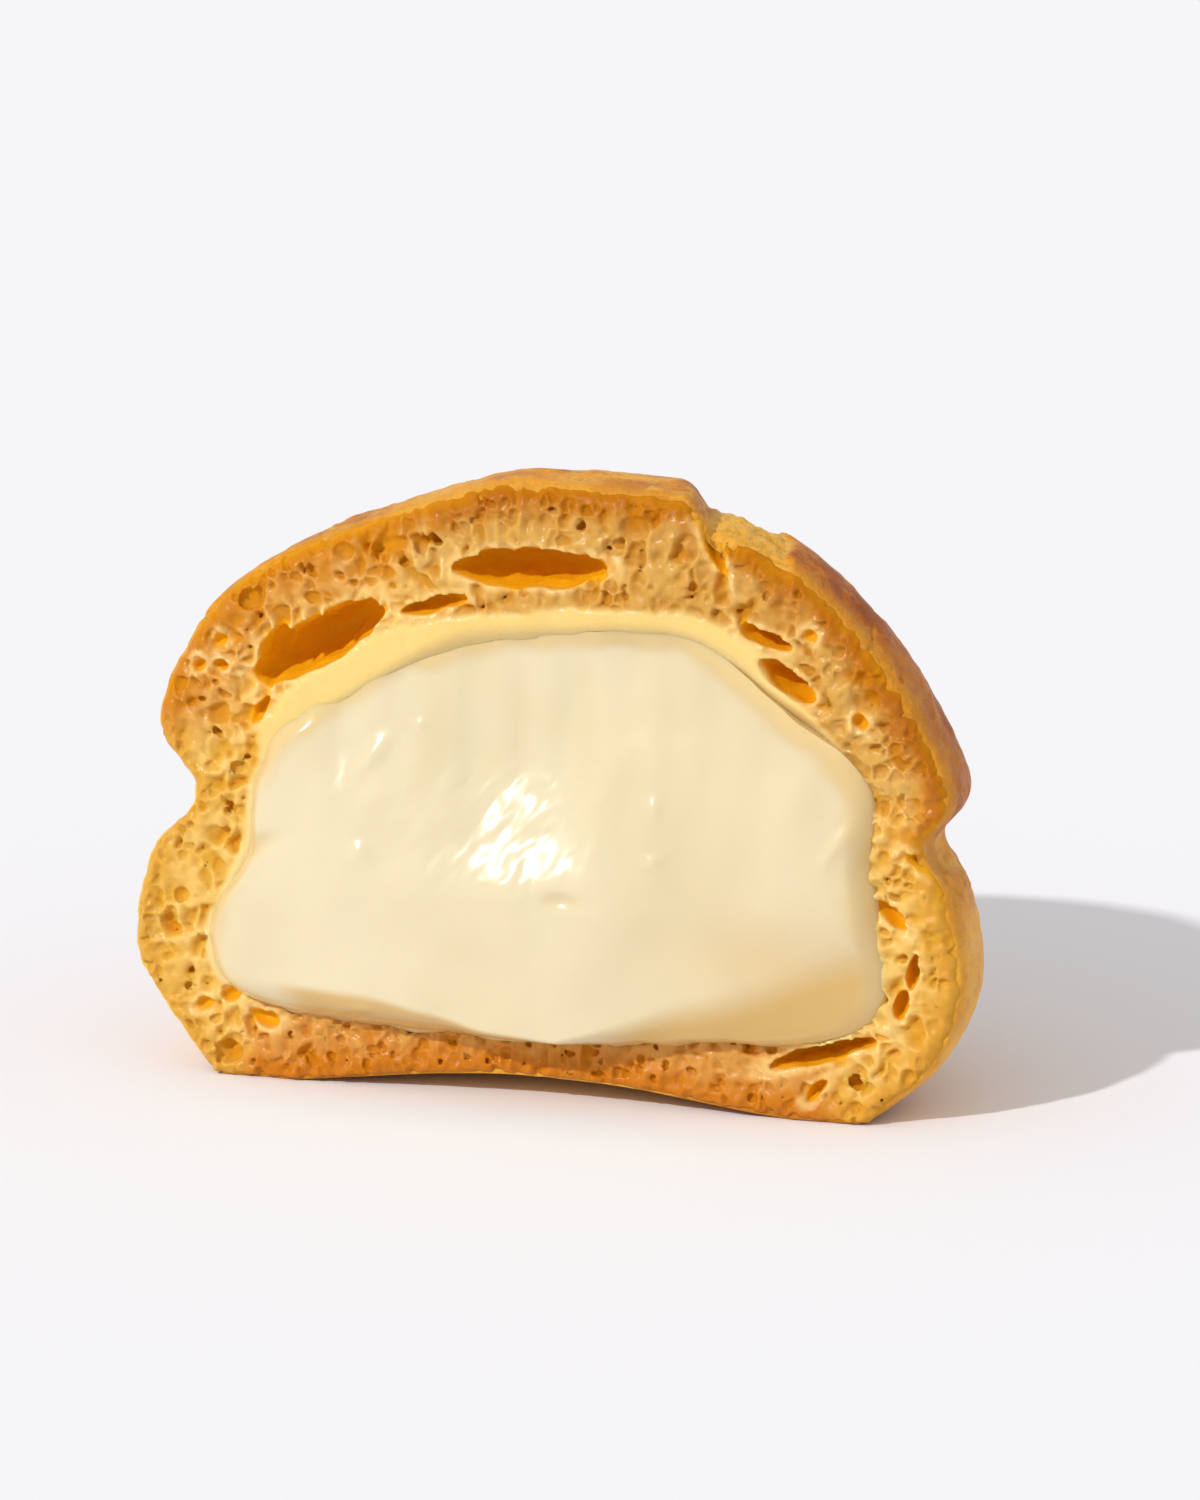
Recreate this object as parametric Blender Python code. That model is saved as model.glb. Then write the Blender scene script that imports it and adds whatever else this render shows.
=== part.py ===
"""Half of a cut cream puff, standing on its base with the cut face turned to -Y.

A baked choux shell has a domed top whose lip overhangs a waist, and a bulging foot
below it.  A thick custard filling runs through the half and swells out of the cut.
Sizes are in millimetres and become metres when a mesh is made.
"""

import math

import bmesh
import bpy
import numpy as np

MM = 0.001

# Driving dimensions of the puff
CROWN_HEIGHT = 59.6         # base to the middle of the dome
CENTRE_HEIGHT = 24.0        # all radii are measured from this height on the upright axis
CUT_SETBACK = 6.0           # the cut runs this far in front of the axis
FLANK_TUCK = 0.058          # the form draws in behind the cut by this share of its radius
BACK_SWELL = 0.022          # unevenness of the hidden side, as a share of the radius
WAIST_WAVE = 3.0            # how far the waist falls and rises round the back
BASE_EDGE_ROUND = 1.6       # rounding where the foot meets the base
ARCH_RISE = 2.2             # hollow of the base at the cut
ARCH_HALF_WIDTH = 25.0
ARCH_DEPTH = 22.0           # the hollow fades out this far behind the cut

# Half outline of the shell at the cut, as (half width, height) from the base to the dome
LEFT_SIDE = {
    "below_base": (29.5, -4.0),
    "base_edge": (32.2, 0.4),
    "foot_flare": (36.9, 6.6),
    "foot": (39.7, 12.2),
    "foot_top": (38.3, 21.4),
    "waist": (33.8, 27.6),
    "lip": (37.4, 34.8),
    "shoulder": (30.4, 47.0),
    "upper_dome": (16.8, 54.4),
}
RIGHT_SIDE = {
    "below_base": (29.5, -4.0),
    "base_edge": (32.6, 0.4),
    "foot_flare": (38.4, 5.6),
    "foot": (41.2, 13.0),
    "foot_top": (39.8, 22.0),
    "waist": (37.4, 26.8),
    "lip": (39.7, 32.4),
    "shoulder": (31.4, 46.4),
    "upper_dome": (18.0, 56.4),
}

# The fold where the right part of the dome has slipped under the crown
FOLD_FRONT_X = 17.2
FOLD_DRIFT = 0.3            # sideways shift of the fold for each millimetre towards the back
FOLD_STEP = 1.5
FOLD_STEP_WIDTH = 1.1
FOLD_REACH = 9.0            # the step levels out over this width on each side
FOLD_GROOVE = 1.3
FOLD_LENGTH = 26.0

# Half outline of the filling at the cut
FILLING_LEFT = {
    "floor": (16.0, 6.4),
    "corner": (28.6, 8.2),
    "belly": (31.8, 14.6),
    "shelf": (27.8, 22.6),
    "flank": (26.3, 31.0),
    "slope": (16.0, 38.0),
    "roof": (7.0, 42.8),
}
FILLING_RIGHT = {
    "floor": (16.0, 7.2),
    "corner": (29.6, 8.4),
    "belly": (33.6, 13.6),
    "shelf": (32.3, 23.0),
    "flank": (31.8, 32.6),
    "slope": (23.6, 39.4),
    "roof": (14.0, 45.2),
}
FILLING_FLOOR = 6.0
FILLING_ROOF = 44.6
GAP = 0.35                  # clearance between filling and shell

# Relief of the filling's cut face, in front of the cut or behind it
BULGE = 4.6
ROOF_RECESS = 2.6
LOBE_CREST = 18.5           # height at which the lobe reaches furthest forward
LOBE_UNDERSIDE = 7.4        # height of the lobe's lower edge at its lowest point
LOBE_LOW_X = 2.0
LOBE_RISE = 9.5             # how much higher the lobe's lower edge is at the right wall
LOBE_HALF_WIDTH = 35.0
UNDERCUT = 0.6

# Air pockets that open in the cut: centre (x, z), half length, half height, depth, slope in degrees
AIR_POCKETS = {
    "left_pocket": ((-21.3, 42.9), 8.0, 2.7, 8.0, 31.0),
    "left_sliver": ((-9.9, 47.2), 3.1, 0.8, 3.5, 16.0),
    "crown_pocket": ((-0.6, 51.3), 7.9, 1.9, 7.0, 2.0),
    "right_pocket": ((24.6, 42.2), 3.6, 1.5, 5.0, -36.0),
    "floor_slit": ((28.6, 5.9), 5.4, 0.95, 5.0, 18.0),
}

# Mesh density
SHELL_COLUMNS = 72
SHELL_ROWS = [-90, -74, -60, -50, -43, -37, -32, -27, -22, -17, -12, -7, -3, 0, 3, 6, 9, 12, 15,
              19, 24, 29, 34, 40, 46, 51, 55, 59, 63, 68, 74, 81, 90]
FILLING_COLUMNS = 48
FILLING_ROWS = [-90, -72, -55, -42, -33, -26, -18, -9, 0, 8, 16, 24, 33, 44, 58, 74, 90]
RELIEF_STEP = 2.6


def smooth_step(value):
    """Ease from 0 to 1 as the value goes from 0 to 1."""
    value = np.clip(value, 0.0, 1.0)
    return value * value * (3.0 - 2.0 * value)


def smooth_curve(points, steps=10):
    """Catmull-Rom curve through all points but the first and last, which only steer it."""
    points = np.array(points, dtype=float)
    t = np.linspace(0.0, 1.0, steps, endpoint=False)[:, None]
    spans = []
    for before, start, end, after in zip(points, points[1:], points[2:], points[3:]):
        spans.append(0.5 * (2.0 * start + (end - before) * t
                            + (2.0 * before - 5.0 * start + 4.0 * end - after) * t ** 2
                            + (3.0 * (start - end) + after - before) * t ** 3))
    return np.vstack(spans + [points[-2:-1]])


def radius_table(side, axis_floor, axis_roof):
    """Elevation angles and radii of a half outline, seen from the centre height on the axis."""
    outline = [(math.hypot(x, CUT_SETBACK), z) for x, z in side.values()]
    low, high = outline[0], outline[-1]
    if axis_floor is not None:
        outline = [(-low[0], low[1]), (0.0, axis_floor)] + outline
    outline = outline + [(0.0, axis_roof), (-high[0], high[1])]
    curve = smooth_curve(outline)
    elevation = np.arctan2(curve[:, 1] - CENTRE_HEIGHT, curve[:, 0])
    return elevation, np.hypot(curve[:, 0], curve[:, 1] - CENTRE_HEIGHT)


def two_sided_radius(tables, azimuth, elevation):
    """Radius blended from the right outline at azimuth 0 to the left one at 180 degrees."""
    right, left = (np.interp(elevation, angles, radii) for angles, radii in tables)
    share = 0.5 + 0.5 * np.cos(azimuth)
    return share * right + (1.0 - share) * left


def place(azimuth, elevation, radius):
    """Point at a radius from the centre height on the axis."""
    x = radius * np.cos(elevation) * np.cos(azimuth)
    y = radius * np.cos(elevation) * np.sin(azimuth)
    return x, y, radius * np.sin(elevation) + CENTRE_HEIGHT


def tuck(azimuth, elevation):
    """Share of the radius left where the form draws in behind the cut."""
    return 1.0 - FLANK_TUCK * smooth_step(2.4 * np.sin(azimuth) * np.cos(elevation))


def fold_drop(x, y):
    """How far the fold lowers the dome at (x, y)."""
    across = x - FOLD_FRONT_X + FOLD_DRIFT * (y + CUT_SETBACK)
    along = 1.0 - smooth_step((y + CUT_SETBACK - 0.4 * FOLD_LENGTH) / (0.6 * FOLD_LENGTH))
    step = FOLD_STEP * np.tanh(across / FOLD_STEP_WIDTH) * np.exp(-(across / FOLD_REACH) ** 2)
    groove = FOLD_GROOVE * np.exp(-(across / FOLD_STEP_WIDTH) ** 2)
    return along * (0.5 * step + groove)


def base_height(x, y):
    """Height of the underside: flat, with a shallow arch at the cut."""
    across = np.clip(1.0 - (x / ARCH_HALF_WIDTH) ** 2, 0.0, 1.0) ** 1.5
    return ARCH_RISE * across * (1.0 - smooth_step((y + CUT_SETBACK) / ARCH_DEPTH))


def shell_surface(azimuth, elevation):
    """Outer surface of the baked shell."""
    back = smooth_step(np.sin(azimuth) * 1.5)
    level = np.exp(-((elevation - 0.1) / 0.5) ** 2)
    wave = WAIST_WAVE / 38.0 * back * level * np.sin(2.0 * azimuth + 0.7 * np.sin(3.0 * azimuth))
    radius = two_sided_radius(SHELL_TABLES, azimuth, elevation + wave) * tuck(azimuth, elevation)
    swell = np.sin(2.0 * azimuth + 2.2) + 0.6 * np.sin(3.0 * azimuth + 4.0 * elevation)
    radius = radius * (1.0 + BACK_SWELL * back * np.cos(elevation) * swell)
    x, y, z = place(azimuth, elevation, radius)
    z = z - fold_drop(x, y) * smooth_step((elevation - 0.45) / 0.25)
    base = base_height(x, y)
    soften = np.clip(1.0 - np.abs(z - base) / BASE_EDGE_ROUND, 0.0, 1.0)
    return x, y, np.maximum(z, base) + soften ** 2 * BASE_EDGE_ROUND / 4.0


def filling_surface(inset):
    """Wall of the cavity, or of the filling where it is set in by the gap."""
    def surface(azimuth, elevation):
        radius = two_sided_radius(FILLING_TABLES, azimuth, elevation) * tuck(azimuth, elevation)
        return place(azimuth, elevation, radius - inset)
    return surface


def front_relief(x, z):
    """How far the filling's cut face stands in front of the cut."""
    lower_edge = LOBE_UNDERSIDE + LOBE_RISE * (np.clip(x - LOBE_LOW_X, 0.0, None) / 30.0) ** 1.3
    lower_edge = lower_edge + 2.6 * smooth_step((LOBE_LOW_X - x) / 16.0)
    under = np.clip((z - lower_edge) / (LOBE_CREST + 2.0 - lower_edge), 0.0, 1.0)
    rise = smooth_step((z - LOBE_CREST) / (FILLING_ROOF - LOBE_CREST))
    side = np.clip(1.0 - np.abs(x / LOBE_HALF_WIDTH) ** 3.5, 0.0, 1.0)
    lobe = BULGE * side * np.sqrt(1.0 - (1.0 - under) ** 2) * (1.0 - rise)
    return lobe - ROOF_RECESS * rise - UNDERCUT * (1.0 - under)


SHELL_TABLES = [radius_table(side, None, CROWN_HEIGHT) for side in (RIGHT_SIDE, LEFT_SIDE)]
FILLING_TABLES = [radius_table(side, FILLING_FLOOR, FILLING_ROOF)
                  for side in (FILLING_RIGHT, FILLING_LEFT)]


def clear_scene():
    """Start from an empty scene."""
    for old in list(bpy.data.objects):
        bpy.data.objects.remove(old, do_unlink=True)


def food_material(name, colour, roughness):
    """Plain food surface."""
    material = bpy.data.materials.new(name)
    material.use_nodes = True
    shader = material.node_tree.nodes["Principled BSDF"]
    shader.inputs["Base Color"].default_value = (*colour, 1.0)
    shader.inputs["Roughness"].default_value = roughness
    shader.inputs["Metallic"].default_value = 0.0
    return material


def mesh_object(name, bm):
    """Object from a bmesh, in the scene."""
    mesh = bpy.data.meshes.new(name)
    bm.to_mesh(mesh)
    bm.free()
    item = bpy.data.objects.new(name, mesh)
    bpy.context.scene.collection.objects.link(item)
    return item


def round_body(surface, columns, rows):
    """Closed bmesh of a surface given by azimuth and elevation, with a pole at each end."""
    bm = bmesh.new()
    rings = []
    for row in np.radians(rows[1:-1]):
        azimuth = np.arange(columns) * 2.0 * math.pi / columns
        ring = np.stack(np.broadcast_arrays(*surface(azimuth, np.full(columns, row))), axis=1)
        rings.append([bm.verts.new(point * MM) for point in ring])
    poles = []
    for row in np.radians([rows[0], rows[-1]]):
        pole = np.array([float(part) for part in surface(np.float64(0.0), np.float64(row))])
        poles.append(bm.verts.new(pole * MM))
    for lower, upper in zip(rings, rings[1:]):
        for i in range(columns):
            j = (i + 1) % columns
            bm.faces.new((lower[i], lower[j], upper[j], upper[i]))
    for i in range(columns):
        j = (i + 1) % columns
        bm.faces.new((poles[0], rings[0][j], rings[0][i]))
        bm.faces.new((poles[1], rings[-1][i], rings[-1][j]))
    return bm


def cut_front(bm):
    """Keep what lies behind the cut, and close the cut face."""
    geometry = bm.verts[:] + bm.edges[:] + bm.faces[:]
    cut = bmesh.ops.bisect_plane(bm, geom=geometry, plane_co=(0.0, -CUT_SETBACK * MM, 0.0),
                                 plane_no=(0.0, -1.0, 0.0), clear_outer=True)
    edges = [part for part in cut["geom_cut"] if isinstance(part, bmesh.types.BMEdge)]
    bmesh.ops.contextual_create(bm, geom=edges)
    bmesh.ops.recalc_face_normals(bm, faces=bm.faces)


def air_pocket(centre, half_length, half_height, depth, slope):
    """Lens-shaped cutter that opens in the cut face."""
    bm = bmesh.new()
    bmesh.ops.create_uvsphere(bm, u_segments=12, v_segments=8, radius=1.0)
    tilt = math.radians(slope)
    for vert in bm.verts:
        along, inward, across = vert.co.x * half_length, vert.co.y * depth, vert.co.z * half_height
        vert.co.x = (centre[0] + along * math.cos(tilt) - across * math.sin(tilt)) * MM
        vert.co.y = (inward - CUT_SETBACK) * MM
        vert.co.z = (centre[1] + along * math.sin(tilt) + across * math.cos(tilt)) * MM
    return bm


def relief_slab():
    """Thick slab whose front is the filling's relief."""
    half_width, back, height = 40.0, 60.0, 62.0
    xs = np.linspace(-half_width, half_width, round(2.0 * half_width / RELIEF_STEP) + 1)
    zs = np.linspace(-2.0, height, round(height / RELIEF_STEP) + 1)
    grid_x, grid_z = np.meshgrid(xs, zs)
    grid_y = -CUT_SETBACK - front_relief(grid_x, grid_z)
    bm = bmesh.new()
    front = [[bm.verts.new((x * MM, y * MM, z * MM)) for x, y, z in zip(*row)]
             for row in zip(grid_x, grid_y, grid_z)]
    for low, high in zip(front, front[1:]):
        for i in range(len(xs) - 1):
            bm.faces.new((low[i], low[i + 1], high[i + 1], high[i]))
    rim = front[0][:-1] + [row[-1] for row in front[:-1]]
    rim += front[-1][:0:-1] + [row[0] for row in front[:0:-1]]
    rear = [bm.verts.new((vert.co.x, back * MM, vert.co.z)) for vert in rim]
    for i, vert in enumerate(rim):
        j = (i + 1) % len(rim)
        bm.faces.new((rim[j], vert, rear[i], rear[j]))
    bm.faces.new(rear[::-1])
    bmesh.ops.recalc_face_normals(bm, faces=bm.faces)
    return bm


def apply_boolean(target, cutter, operation):
    """Boolean with the cutter hidden from the model."""
    cutter.hide_render = True
    cutter.display_type = "WIRE"
    modifier = target.modifiers.new(cutter.name, "BOOLEAN")
    modifier.operation = operation
    modifier.object = cutter


def finish(item, material):
    """Give an object its material and smooth its rounded faces."""
    item.data.materials.append(material)
    item.data.shade_smooth()
    item.data.set_sharp_from_angle(angle=math.radians(50.0))


def build_shell():
    """Baked shell: outer form, cut face, cavity and open air pockets."""
    body = round_body(shell_surface, SHELL_COLUMNS, SHELL_ROWS)
    cut_front(body)
    shell = mesh_object("choux_shell", body)
    cavity = mesh_object("cavity", round_body(filling_surface(0.0), FILLING_COLUMNS, FILLING_ROWS))
    apply_boolean(shell, cavity, "DIFFERENCE")
    for name, sizes in AIR_POCKETS.items():
        apply_boolean(shell, mesh_object(name, air_pocket(*sizes)), "DIFFERENCE")
    finish(shell, food_material("baked_choux", (0.60, 0.33, 0.11), 0.62))
    return shell


def build_filling():
    """Custard: the cavity's form set in by the gap, with a swelling cut face."""
    form = round_body(filling_surface(GAP), FILLING_COLUMNS, FILLING_ROWS)
    filling = mesh_object("cream_filling", form)
    apply_boolean(filling, mesh_object("cut_relief", relief_slab()), "INTERSECT")
    finish(filling, food_material("custard", (0.92, 0.82, 0.55), 0.35))
    return filling


def centre_on_base():
    """Move everything so that the origin is under the middle of the model's box."""
    azimuth, elevation = np.meshgrid(np.radians(np.arange(-60.0, 241.0, 1.0)),
                                     np.radians(np.arange(-40.0, 90.0, 1.0)))
    x, y, z = shell_surface(azimuth, elevation)
    kept = y >= -CUT_SETBACK
    across, inside = np.meshgrid(np.linspace(-25.0, 25.0, 101), np.linspace(10.0, 30.0, 81))
    front = -CUT_SETBACK - front_relief(across, inside).max()
    shift = ((x[kept].min() + x[kept].max()) / 2.0, (front + y[kept].max()) / 2.0)
    for item in bpy.data.objects:
        item.location = (-shift[0] * MM, -shift[1] * MM, 0.0)


def main():
    clear_scene()
    build_shell()
    build_filling()
    centre_on_base()


main()
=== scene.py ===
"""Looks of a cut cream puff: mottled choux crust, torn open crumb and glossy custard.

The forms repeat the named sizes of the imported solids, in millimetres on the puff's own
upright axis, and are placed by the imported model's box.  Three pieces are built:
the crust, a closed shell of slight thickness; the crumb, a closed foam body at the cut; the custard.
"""

import math

import bpy
import numpy as np
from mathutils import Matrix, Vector


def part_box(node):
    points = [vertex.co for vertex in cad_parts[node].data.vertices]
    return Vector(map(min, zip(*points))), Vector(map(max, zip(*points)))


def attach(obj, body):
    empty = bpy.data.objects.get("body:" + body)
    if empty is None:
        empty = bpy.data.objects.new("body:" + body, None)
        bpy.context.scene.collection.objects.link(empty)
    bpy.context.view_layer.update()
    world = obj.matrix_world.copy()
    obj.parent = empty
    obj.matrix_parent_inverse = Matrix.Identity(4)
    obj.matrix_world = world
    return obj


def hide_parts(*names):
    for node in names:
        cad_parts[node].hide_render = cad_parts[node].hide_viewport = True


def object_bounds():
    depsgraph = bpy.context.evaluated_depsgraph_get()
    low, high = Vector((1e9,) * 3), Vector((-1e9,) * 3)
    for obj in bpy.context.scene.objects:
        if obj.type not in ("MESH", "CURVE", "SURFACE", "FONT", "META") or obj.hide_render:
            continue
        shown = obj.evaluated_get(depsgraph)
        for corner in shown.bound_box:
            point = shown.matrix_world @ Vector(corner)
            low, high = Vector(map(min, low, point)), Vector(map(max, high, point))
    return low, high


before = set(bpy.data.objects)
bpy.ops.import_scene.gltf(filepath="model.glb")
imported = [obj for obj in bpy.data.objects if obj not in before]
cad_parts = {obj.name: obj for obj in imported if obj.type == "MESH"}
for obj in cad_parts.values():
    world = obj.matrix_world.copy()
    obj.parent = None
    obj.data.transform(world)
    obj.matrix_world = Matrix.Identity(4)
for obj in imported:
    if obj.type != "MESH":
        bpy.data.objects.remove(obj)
cad_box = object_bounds()

MM = 0.001

# --------------------------------------------------------------------------- form sizes
CROWN_HEIGHT = 59.6
CENTRE_HEIGHT = 24.0
CUT_SETBACK = 6.0
FLANK_TUCK = 0.058
BACK_SWELL = 0.022
WAIST_WAVE = 3.0
BASE_EDGE_ROUND = 1.6
ARCH_RISE = 2.2
ARCH_HALF_WIDTH = 25.0
ARCH_DEPTH = 22.0

LEFT_SIDE = {
    "below_base": (29.5, -4.0),
    "base_edge": (32.2, 0.4),
    "foot_flare": (36.9, 6.6),
    "foot": (39.7, 12.2),
    "foot_top": (38.3, 21.4),
    "waist": (33.8, 27.6),
    "lip": (37.4, 34.8),
    "shoulder": (30.4, 47.0),
    "upper_dome": (16.8, 54.4),
}
RIGHT_SIDE = {
    "below_base": (29.5, -4.0),
    "base_edge": (32.6, 0.4),
    "foot_flare": (38.4, 5.6),
    "foot": (41.2, 13.0),
    "foot_top": (39.8, 22.0),
    "waist": (37.4, 26.8),
    "lip": (39.7, 32.4),
    "shoulder": (31.4, 46.4),
    "upper_dome": (18.0, 56.4),
}

FOLD_FRONT_X = 17.2
FOLD_DRIFT = 0.3
FOLD_STEP = 1.5
FOLD_STEP_WIDTH = 1.1
FOLD_REACH = 9.0
FOLD_GROOVE = 1.3
FOLD_LENGTH = 26.0

FILLING_LEFT = {
    "floor": (16.0, 6.4),
    "corner": (28.6, 8.2),
    "belly": (31.8, 14.6),
    "shelf": (27.8, 22.6),
    "flank": (26.3, 31.0),
    "slope": (16.0, 38.0),
    "roof": (7.0, 42.8),
}
FILLING_RIGHT = {
    "floor": (16.0, 7.2),
    "corner": (29.6, 8.4),
    "belly": (33.6, 13.6),
    "shelf": (32.3, 23.0),
    "flank": (31.8, 32.6),
    "slope": (23.6, 39.4),
    "roof": (14.0, 45.2),
}
FILLING_FLOOR = 6.0
FILLING_ROOF = 44.6

# --------------------------------------------------------------------------- mesh density
CRUST_CELLS = 296
CRUST_BACK_SHARE = 4
CRUMB_STEP = 0.2
CRUMB_DEPTH = 4.6
CRUMB_FACES = 194000
CREAM_CELLS = 220
CREAM_BACK_SHARE = 4

# --------------------------------------------------------------------------- torn edge
SKIN_AT_RIM = 0.10
SKIN_BEHIND = 1.3
RIM_DIVE = 0.4
RIM_BEHIND_CUT = 0.45
SKIN_SETBACK = 0.10
CRUMB_SETBACK = 0.16
CRUMB_SETBACK_BEHIND = 0.5
EDGE_ROUND_LEAST = 0.9
EDGE_ROUND_MORE = 1.8
EDGE_ROUND_TOWARD = 65.0


# --------------------------------------------------------------------------- noise
def smooth_step(value):
    """Ease from 0 to 1 as the value goes from 0 to 1."""
    value = np.clip(value, 0.0, 1.0)
    return value * value * (3.0 - 2.0 * value)


def window(value, low, high, soft):
    """1 between low and high, easing to 0 over the soft width outside them."""
    return smooth_step((value - low) / soft + 1.0) * smooth_step((high - value) / soft + 1.0)


RANDOM = np.random.default_rng(20).random((4096, 5), dtype=np.float32)
DIRECTIONS = np.random.default_rng(21).normal(size=(4096, 3)).astype(np.float32)
DIRECTIONS /= np.linalg.norm(DIRECTIONS, axis=1, keepdims=True)


def lattice_entry(ix, iy, iz, seed):
    """Row of the random tables that belongs to whole-number lattice points."""
    value = (ix * np.uint32(374761393) + iy * np.uint32(668265263) + iz * np.uint32(2246822519)
             + np.uint32(seed * 3266489917 & 0xFFFFFFFF))
    value = (value ^ (value >> np.uint32(13))) * np.uint32(1274126177)
    return (value ^ (value >> np.uint32(16))) & np.uint32(4095)


def lattice_cells(points, size):
    """Lattice cell of each point and the place in it, from 0 to 1."""
    scaled = np.asarray(points, dtype=np.float32) / np.float32(size) + np.float32(1000.0)
    cell = np.floor(scaled)
    part = scaled - cell
    return [cell[:, k].astype(np.uint32) for k in range(3)], [part[:, k] for k in range(3)]


def noise(points, size, seed):
    """Smooth noise from about -1 to 1 with features of one size, in millimetres."""
    cell, part = lattice_cells(points, size)
    ease = [p * p * p * (p * (p * 6.0 - 15.0) + 10.0) for p in part]
    total = np.zeros(len(part[0]), dtype=np.float32)
    for corner in np.ndindex(2, 2, 2):
        entry = lattice_entry(*(cell[k] + np.uint32(corner[k]) for k in range(3)), seed)
        slope = DIRECTIONS[entry]
        value = sum(slope[:, k] * (part[k] - np.float32(corner[k])) for k in range(3))
        for k in range(3):
            value = value * (ease[k] if corner[k] else 1.0 - ease[k])
        total += value
    return total * np.float32(1.6)


def layered_noise(points, size, seed, layers=3, fall=0.5):
    """Noise of several sizes, each half as large as the last."""
    total, share, strength = 0.0, 0.0, 1.0
    for layer in range(layers):
        total = total + strength * noise(points, size / 2.0 ** layer, seed + 17 * layer)
        share += strength
        strength *= fall
    return total / share


def bubble_distance(points, size, seed, chance, small=0.25, large=0.6):
    """Distance to the nearest of many random round bubbles, less than 0 inside one."""
    cell, part = lattice_cells(points, size)
    best = np.full(len(part[0]), 9.0, dtype=np.float32)
    for step in np.ndindex(3, 3, 3):
        entry = lattice_entry(*(cell[k] + np.uint32(step[k]) - np.uint32(1) for k in range(3)), seed)
        gap = np.zeros(len(best), dtype=np.float32)
        for k in range(3):
            middle = step[k] - 0.5 + 0.9 * (RANDOM[entry, k] - 0.5)
            gap += (part[k] - middle) ** 2
        radius = small + (large - small) * RANDOM[entry, 3]
        distance = np.sqrt(gap) - radius
        best = np.minimum(best, np.where(RANDOM[entry, 4] < chance, distance, 9.0))
    return best * size


def torn_cells(points, size, seed):
    """Shallow irregular bowls between thin ridges: 0 on a ridge, up to 1 in a bowl."""
    flat = points.copy()
    flat[:, 1] = 0.0
    cell, part = lattice_cells(flat, size)
    first = np.full(len(part[0]), 9.0, dtype=np.float32)
    second = first.copy()
    depth = np.zeros(len(first), dtype=np.float32)
    for step in np.ndindex(3, 3):
        entry = lattice_entry(cell[0] + np.uint32(step[0]) - np.uint32(1), cell[1],
                              cell[2] + np.uint32(step[1]) - np.uint32(1), seed)
        gap = ((part[0] - step[0] + 0.5 - 0.95 * (RANDOM[entry, 0] - 0.5)) ** 2
               + (part[2] - step[1] + 0.5 - 0.95 * (RANDOM[entry, 2] - 0.5)) ** 2)
        gap = np.sqrt(gap)
        nearer = gap < first
        second = np.where(nearer, first, np.minimum(second, gap))
        depth = np.where(nearer, RANDOM[entry, 3], depth)
        first = np.where(nearer, gap, first)
    return smooth_step((second - first) / 0.55) * np.clip(1.4 * depth - 0.2, 0.0, 1.0)


# --------------------------------------------------------------------------- main forms
def smooth_curve(points, steps=10):
    """Catmull-Rom curve through all points but the first and last, which only steer it."""
    points = np.array(points, dtype=float)
    t = np.linspace(0.0, 1.0, steps, endpoint=False)[:, None]
    spans = []
    for before, start, end, after in zip(points, points[1:], points[2:], points[3:]):
        spans.append(0.5 * (2.0 * start + (end - before) * t
                            + (2.0 * before - 5.0 * start + 4.0 * end - after) * t ** 2
                            + (3.0 * (start - end) + after - before) * t ** 3))
    return np.vstack(spans + [points[-2:-1]])


def radius_table(side, axis_floor, axis_roof):
    """Elevation angles and radii of a half outline, seen from the centre height on the axis."""
    outline = [(math.hypot(x, CUT_SETBACK), z) for x, z in side.values()]
    low, high = outline[0], outline[-1]
    if axis_floor is not None:
        outline = [(-low[0], low[1]), (0.0, axis_floor)] + outline
    outline = outline + [(0.0, axis_roof), (-high[0], high[1])]
    curve = smooth_curve(outline)
    elevation = np.arctan2(curve[:, 1] - CENTRE_HEIGHT, curve[:, 0])
    return elevation, np.hypot(curve[:, 0], curve[:, 1] - CENTRE_HEIGHT)


SHELL_TABLES = [radius_table(side, None, CROWN_HEIGHT) for side in (RIGHT_SIDE, LEFT_SIDE)]
FILLING_TABLES = [radius_table(side, FILLING_FLOOR, FILLING_ROOF)
                  for side in (FILLING_RIGHT, FILLING_LEFT)]


def two_sided_radius(tables, azimuth, elevation):
    """Radius blended from the right outline at azimuth 0 to the left one at 180 degrees."""
    right, left = (np.interp(elevation, angles, radii) for angles, radii in tables)
    share = 0.5 + 0.5 * np.cos(azimuth)
    return share * right + (1.0 - share) * left


def tuck(azimuth, elevation):
    """Share of the radius left where the form draws in behind the cut."""
    return 1.0 - FLANK_TUCK * smooth_step(2.4 * np.sin(azimuth) * np.cos(elevation))


def waist_wave(azimuth, elevation):
    """Angle by which the waist is lowered round the back."""
    back = smooth_step(np.sin(azimuth) * 1.5)
    level = np.exp(-((elevation - 0.1) / 0.5) ** 2)
    return WAIST_WAVE / 38.0 * back * level * np.sin(2.0 * azimuth + 0.7 * np.sin(3.0 * azimuth))


def shell_radius(azimuth, elevation):
    """Radius of the baked shell before the base is flattened."""
    back = smooth_step(np.sin(azimuth) * 1.5)
    lowered = elevation + waist_wave(azimuth, elevation)
    radius = two_sided_radius(SHELL_TABLES, azimuth, lowered) * tuck(azimuth, elevation)
    swell = np.sin(2.0 * azimuth + 2.2) + 0.6 * np.sin(3.0 * azimuth + 4.0 * elevation)
    return radius * (1.0 + BACK_SWELL * back * np.cos(elevation) * swell)


def filling_radius(azimuth, elevation):
    """Radius of the cavity that the custard fills."""
    return two_sided_radius(FILLING_TABLES, azimuth, elevation) * tuck(azimuth, elevation)


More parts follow.
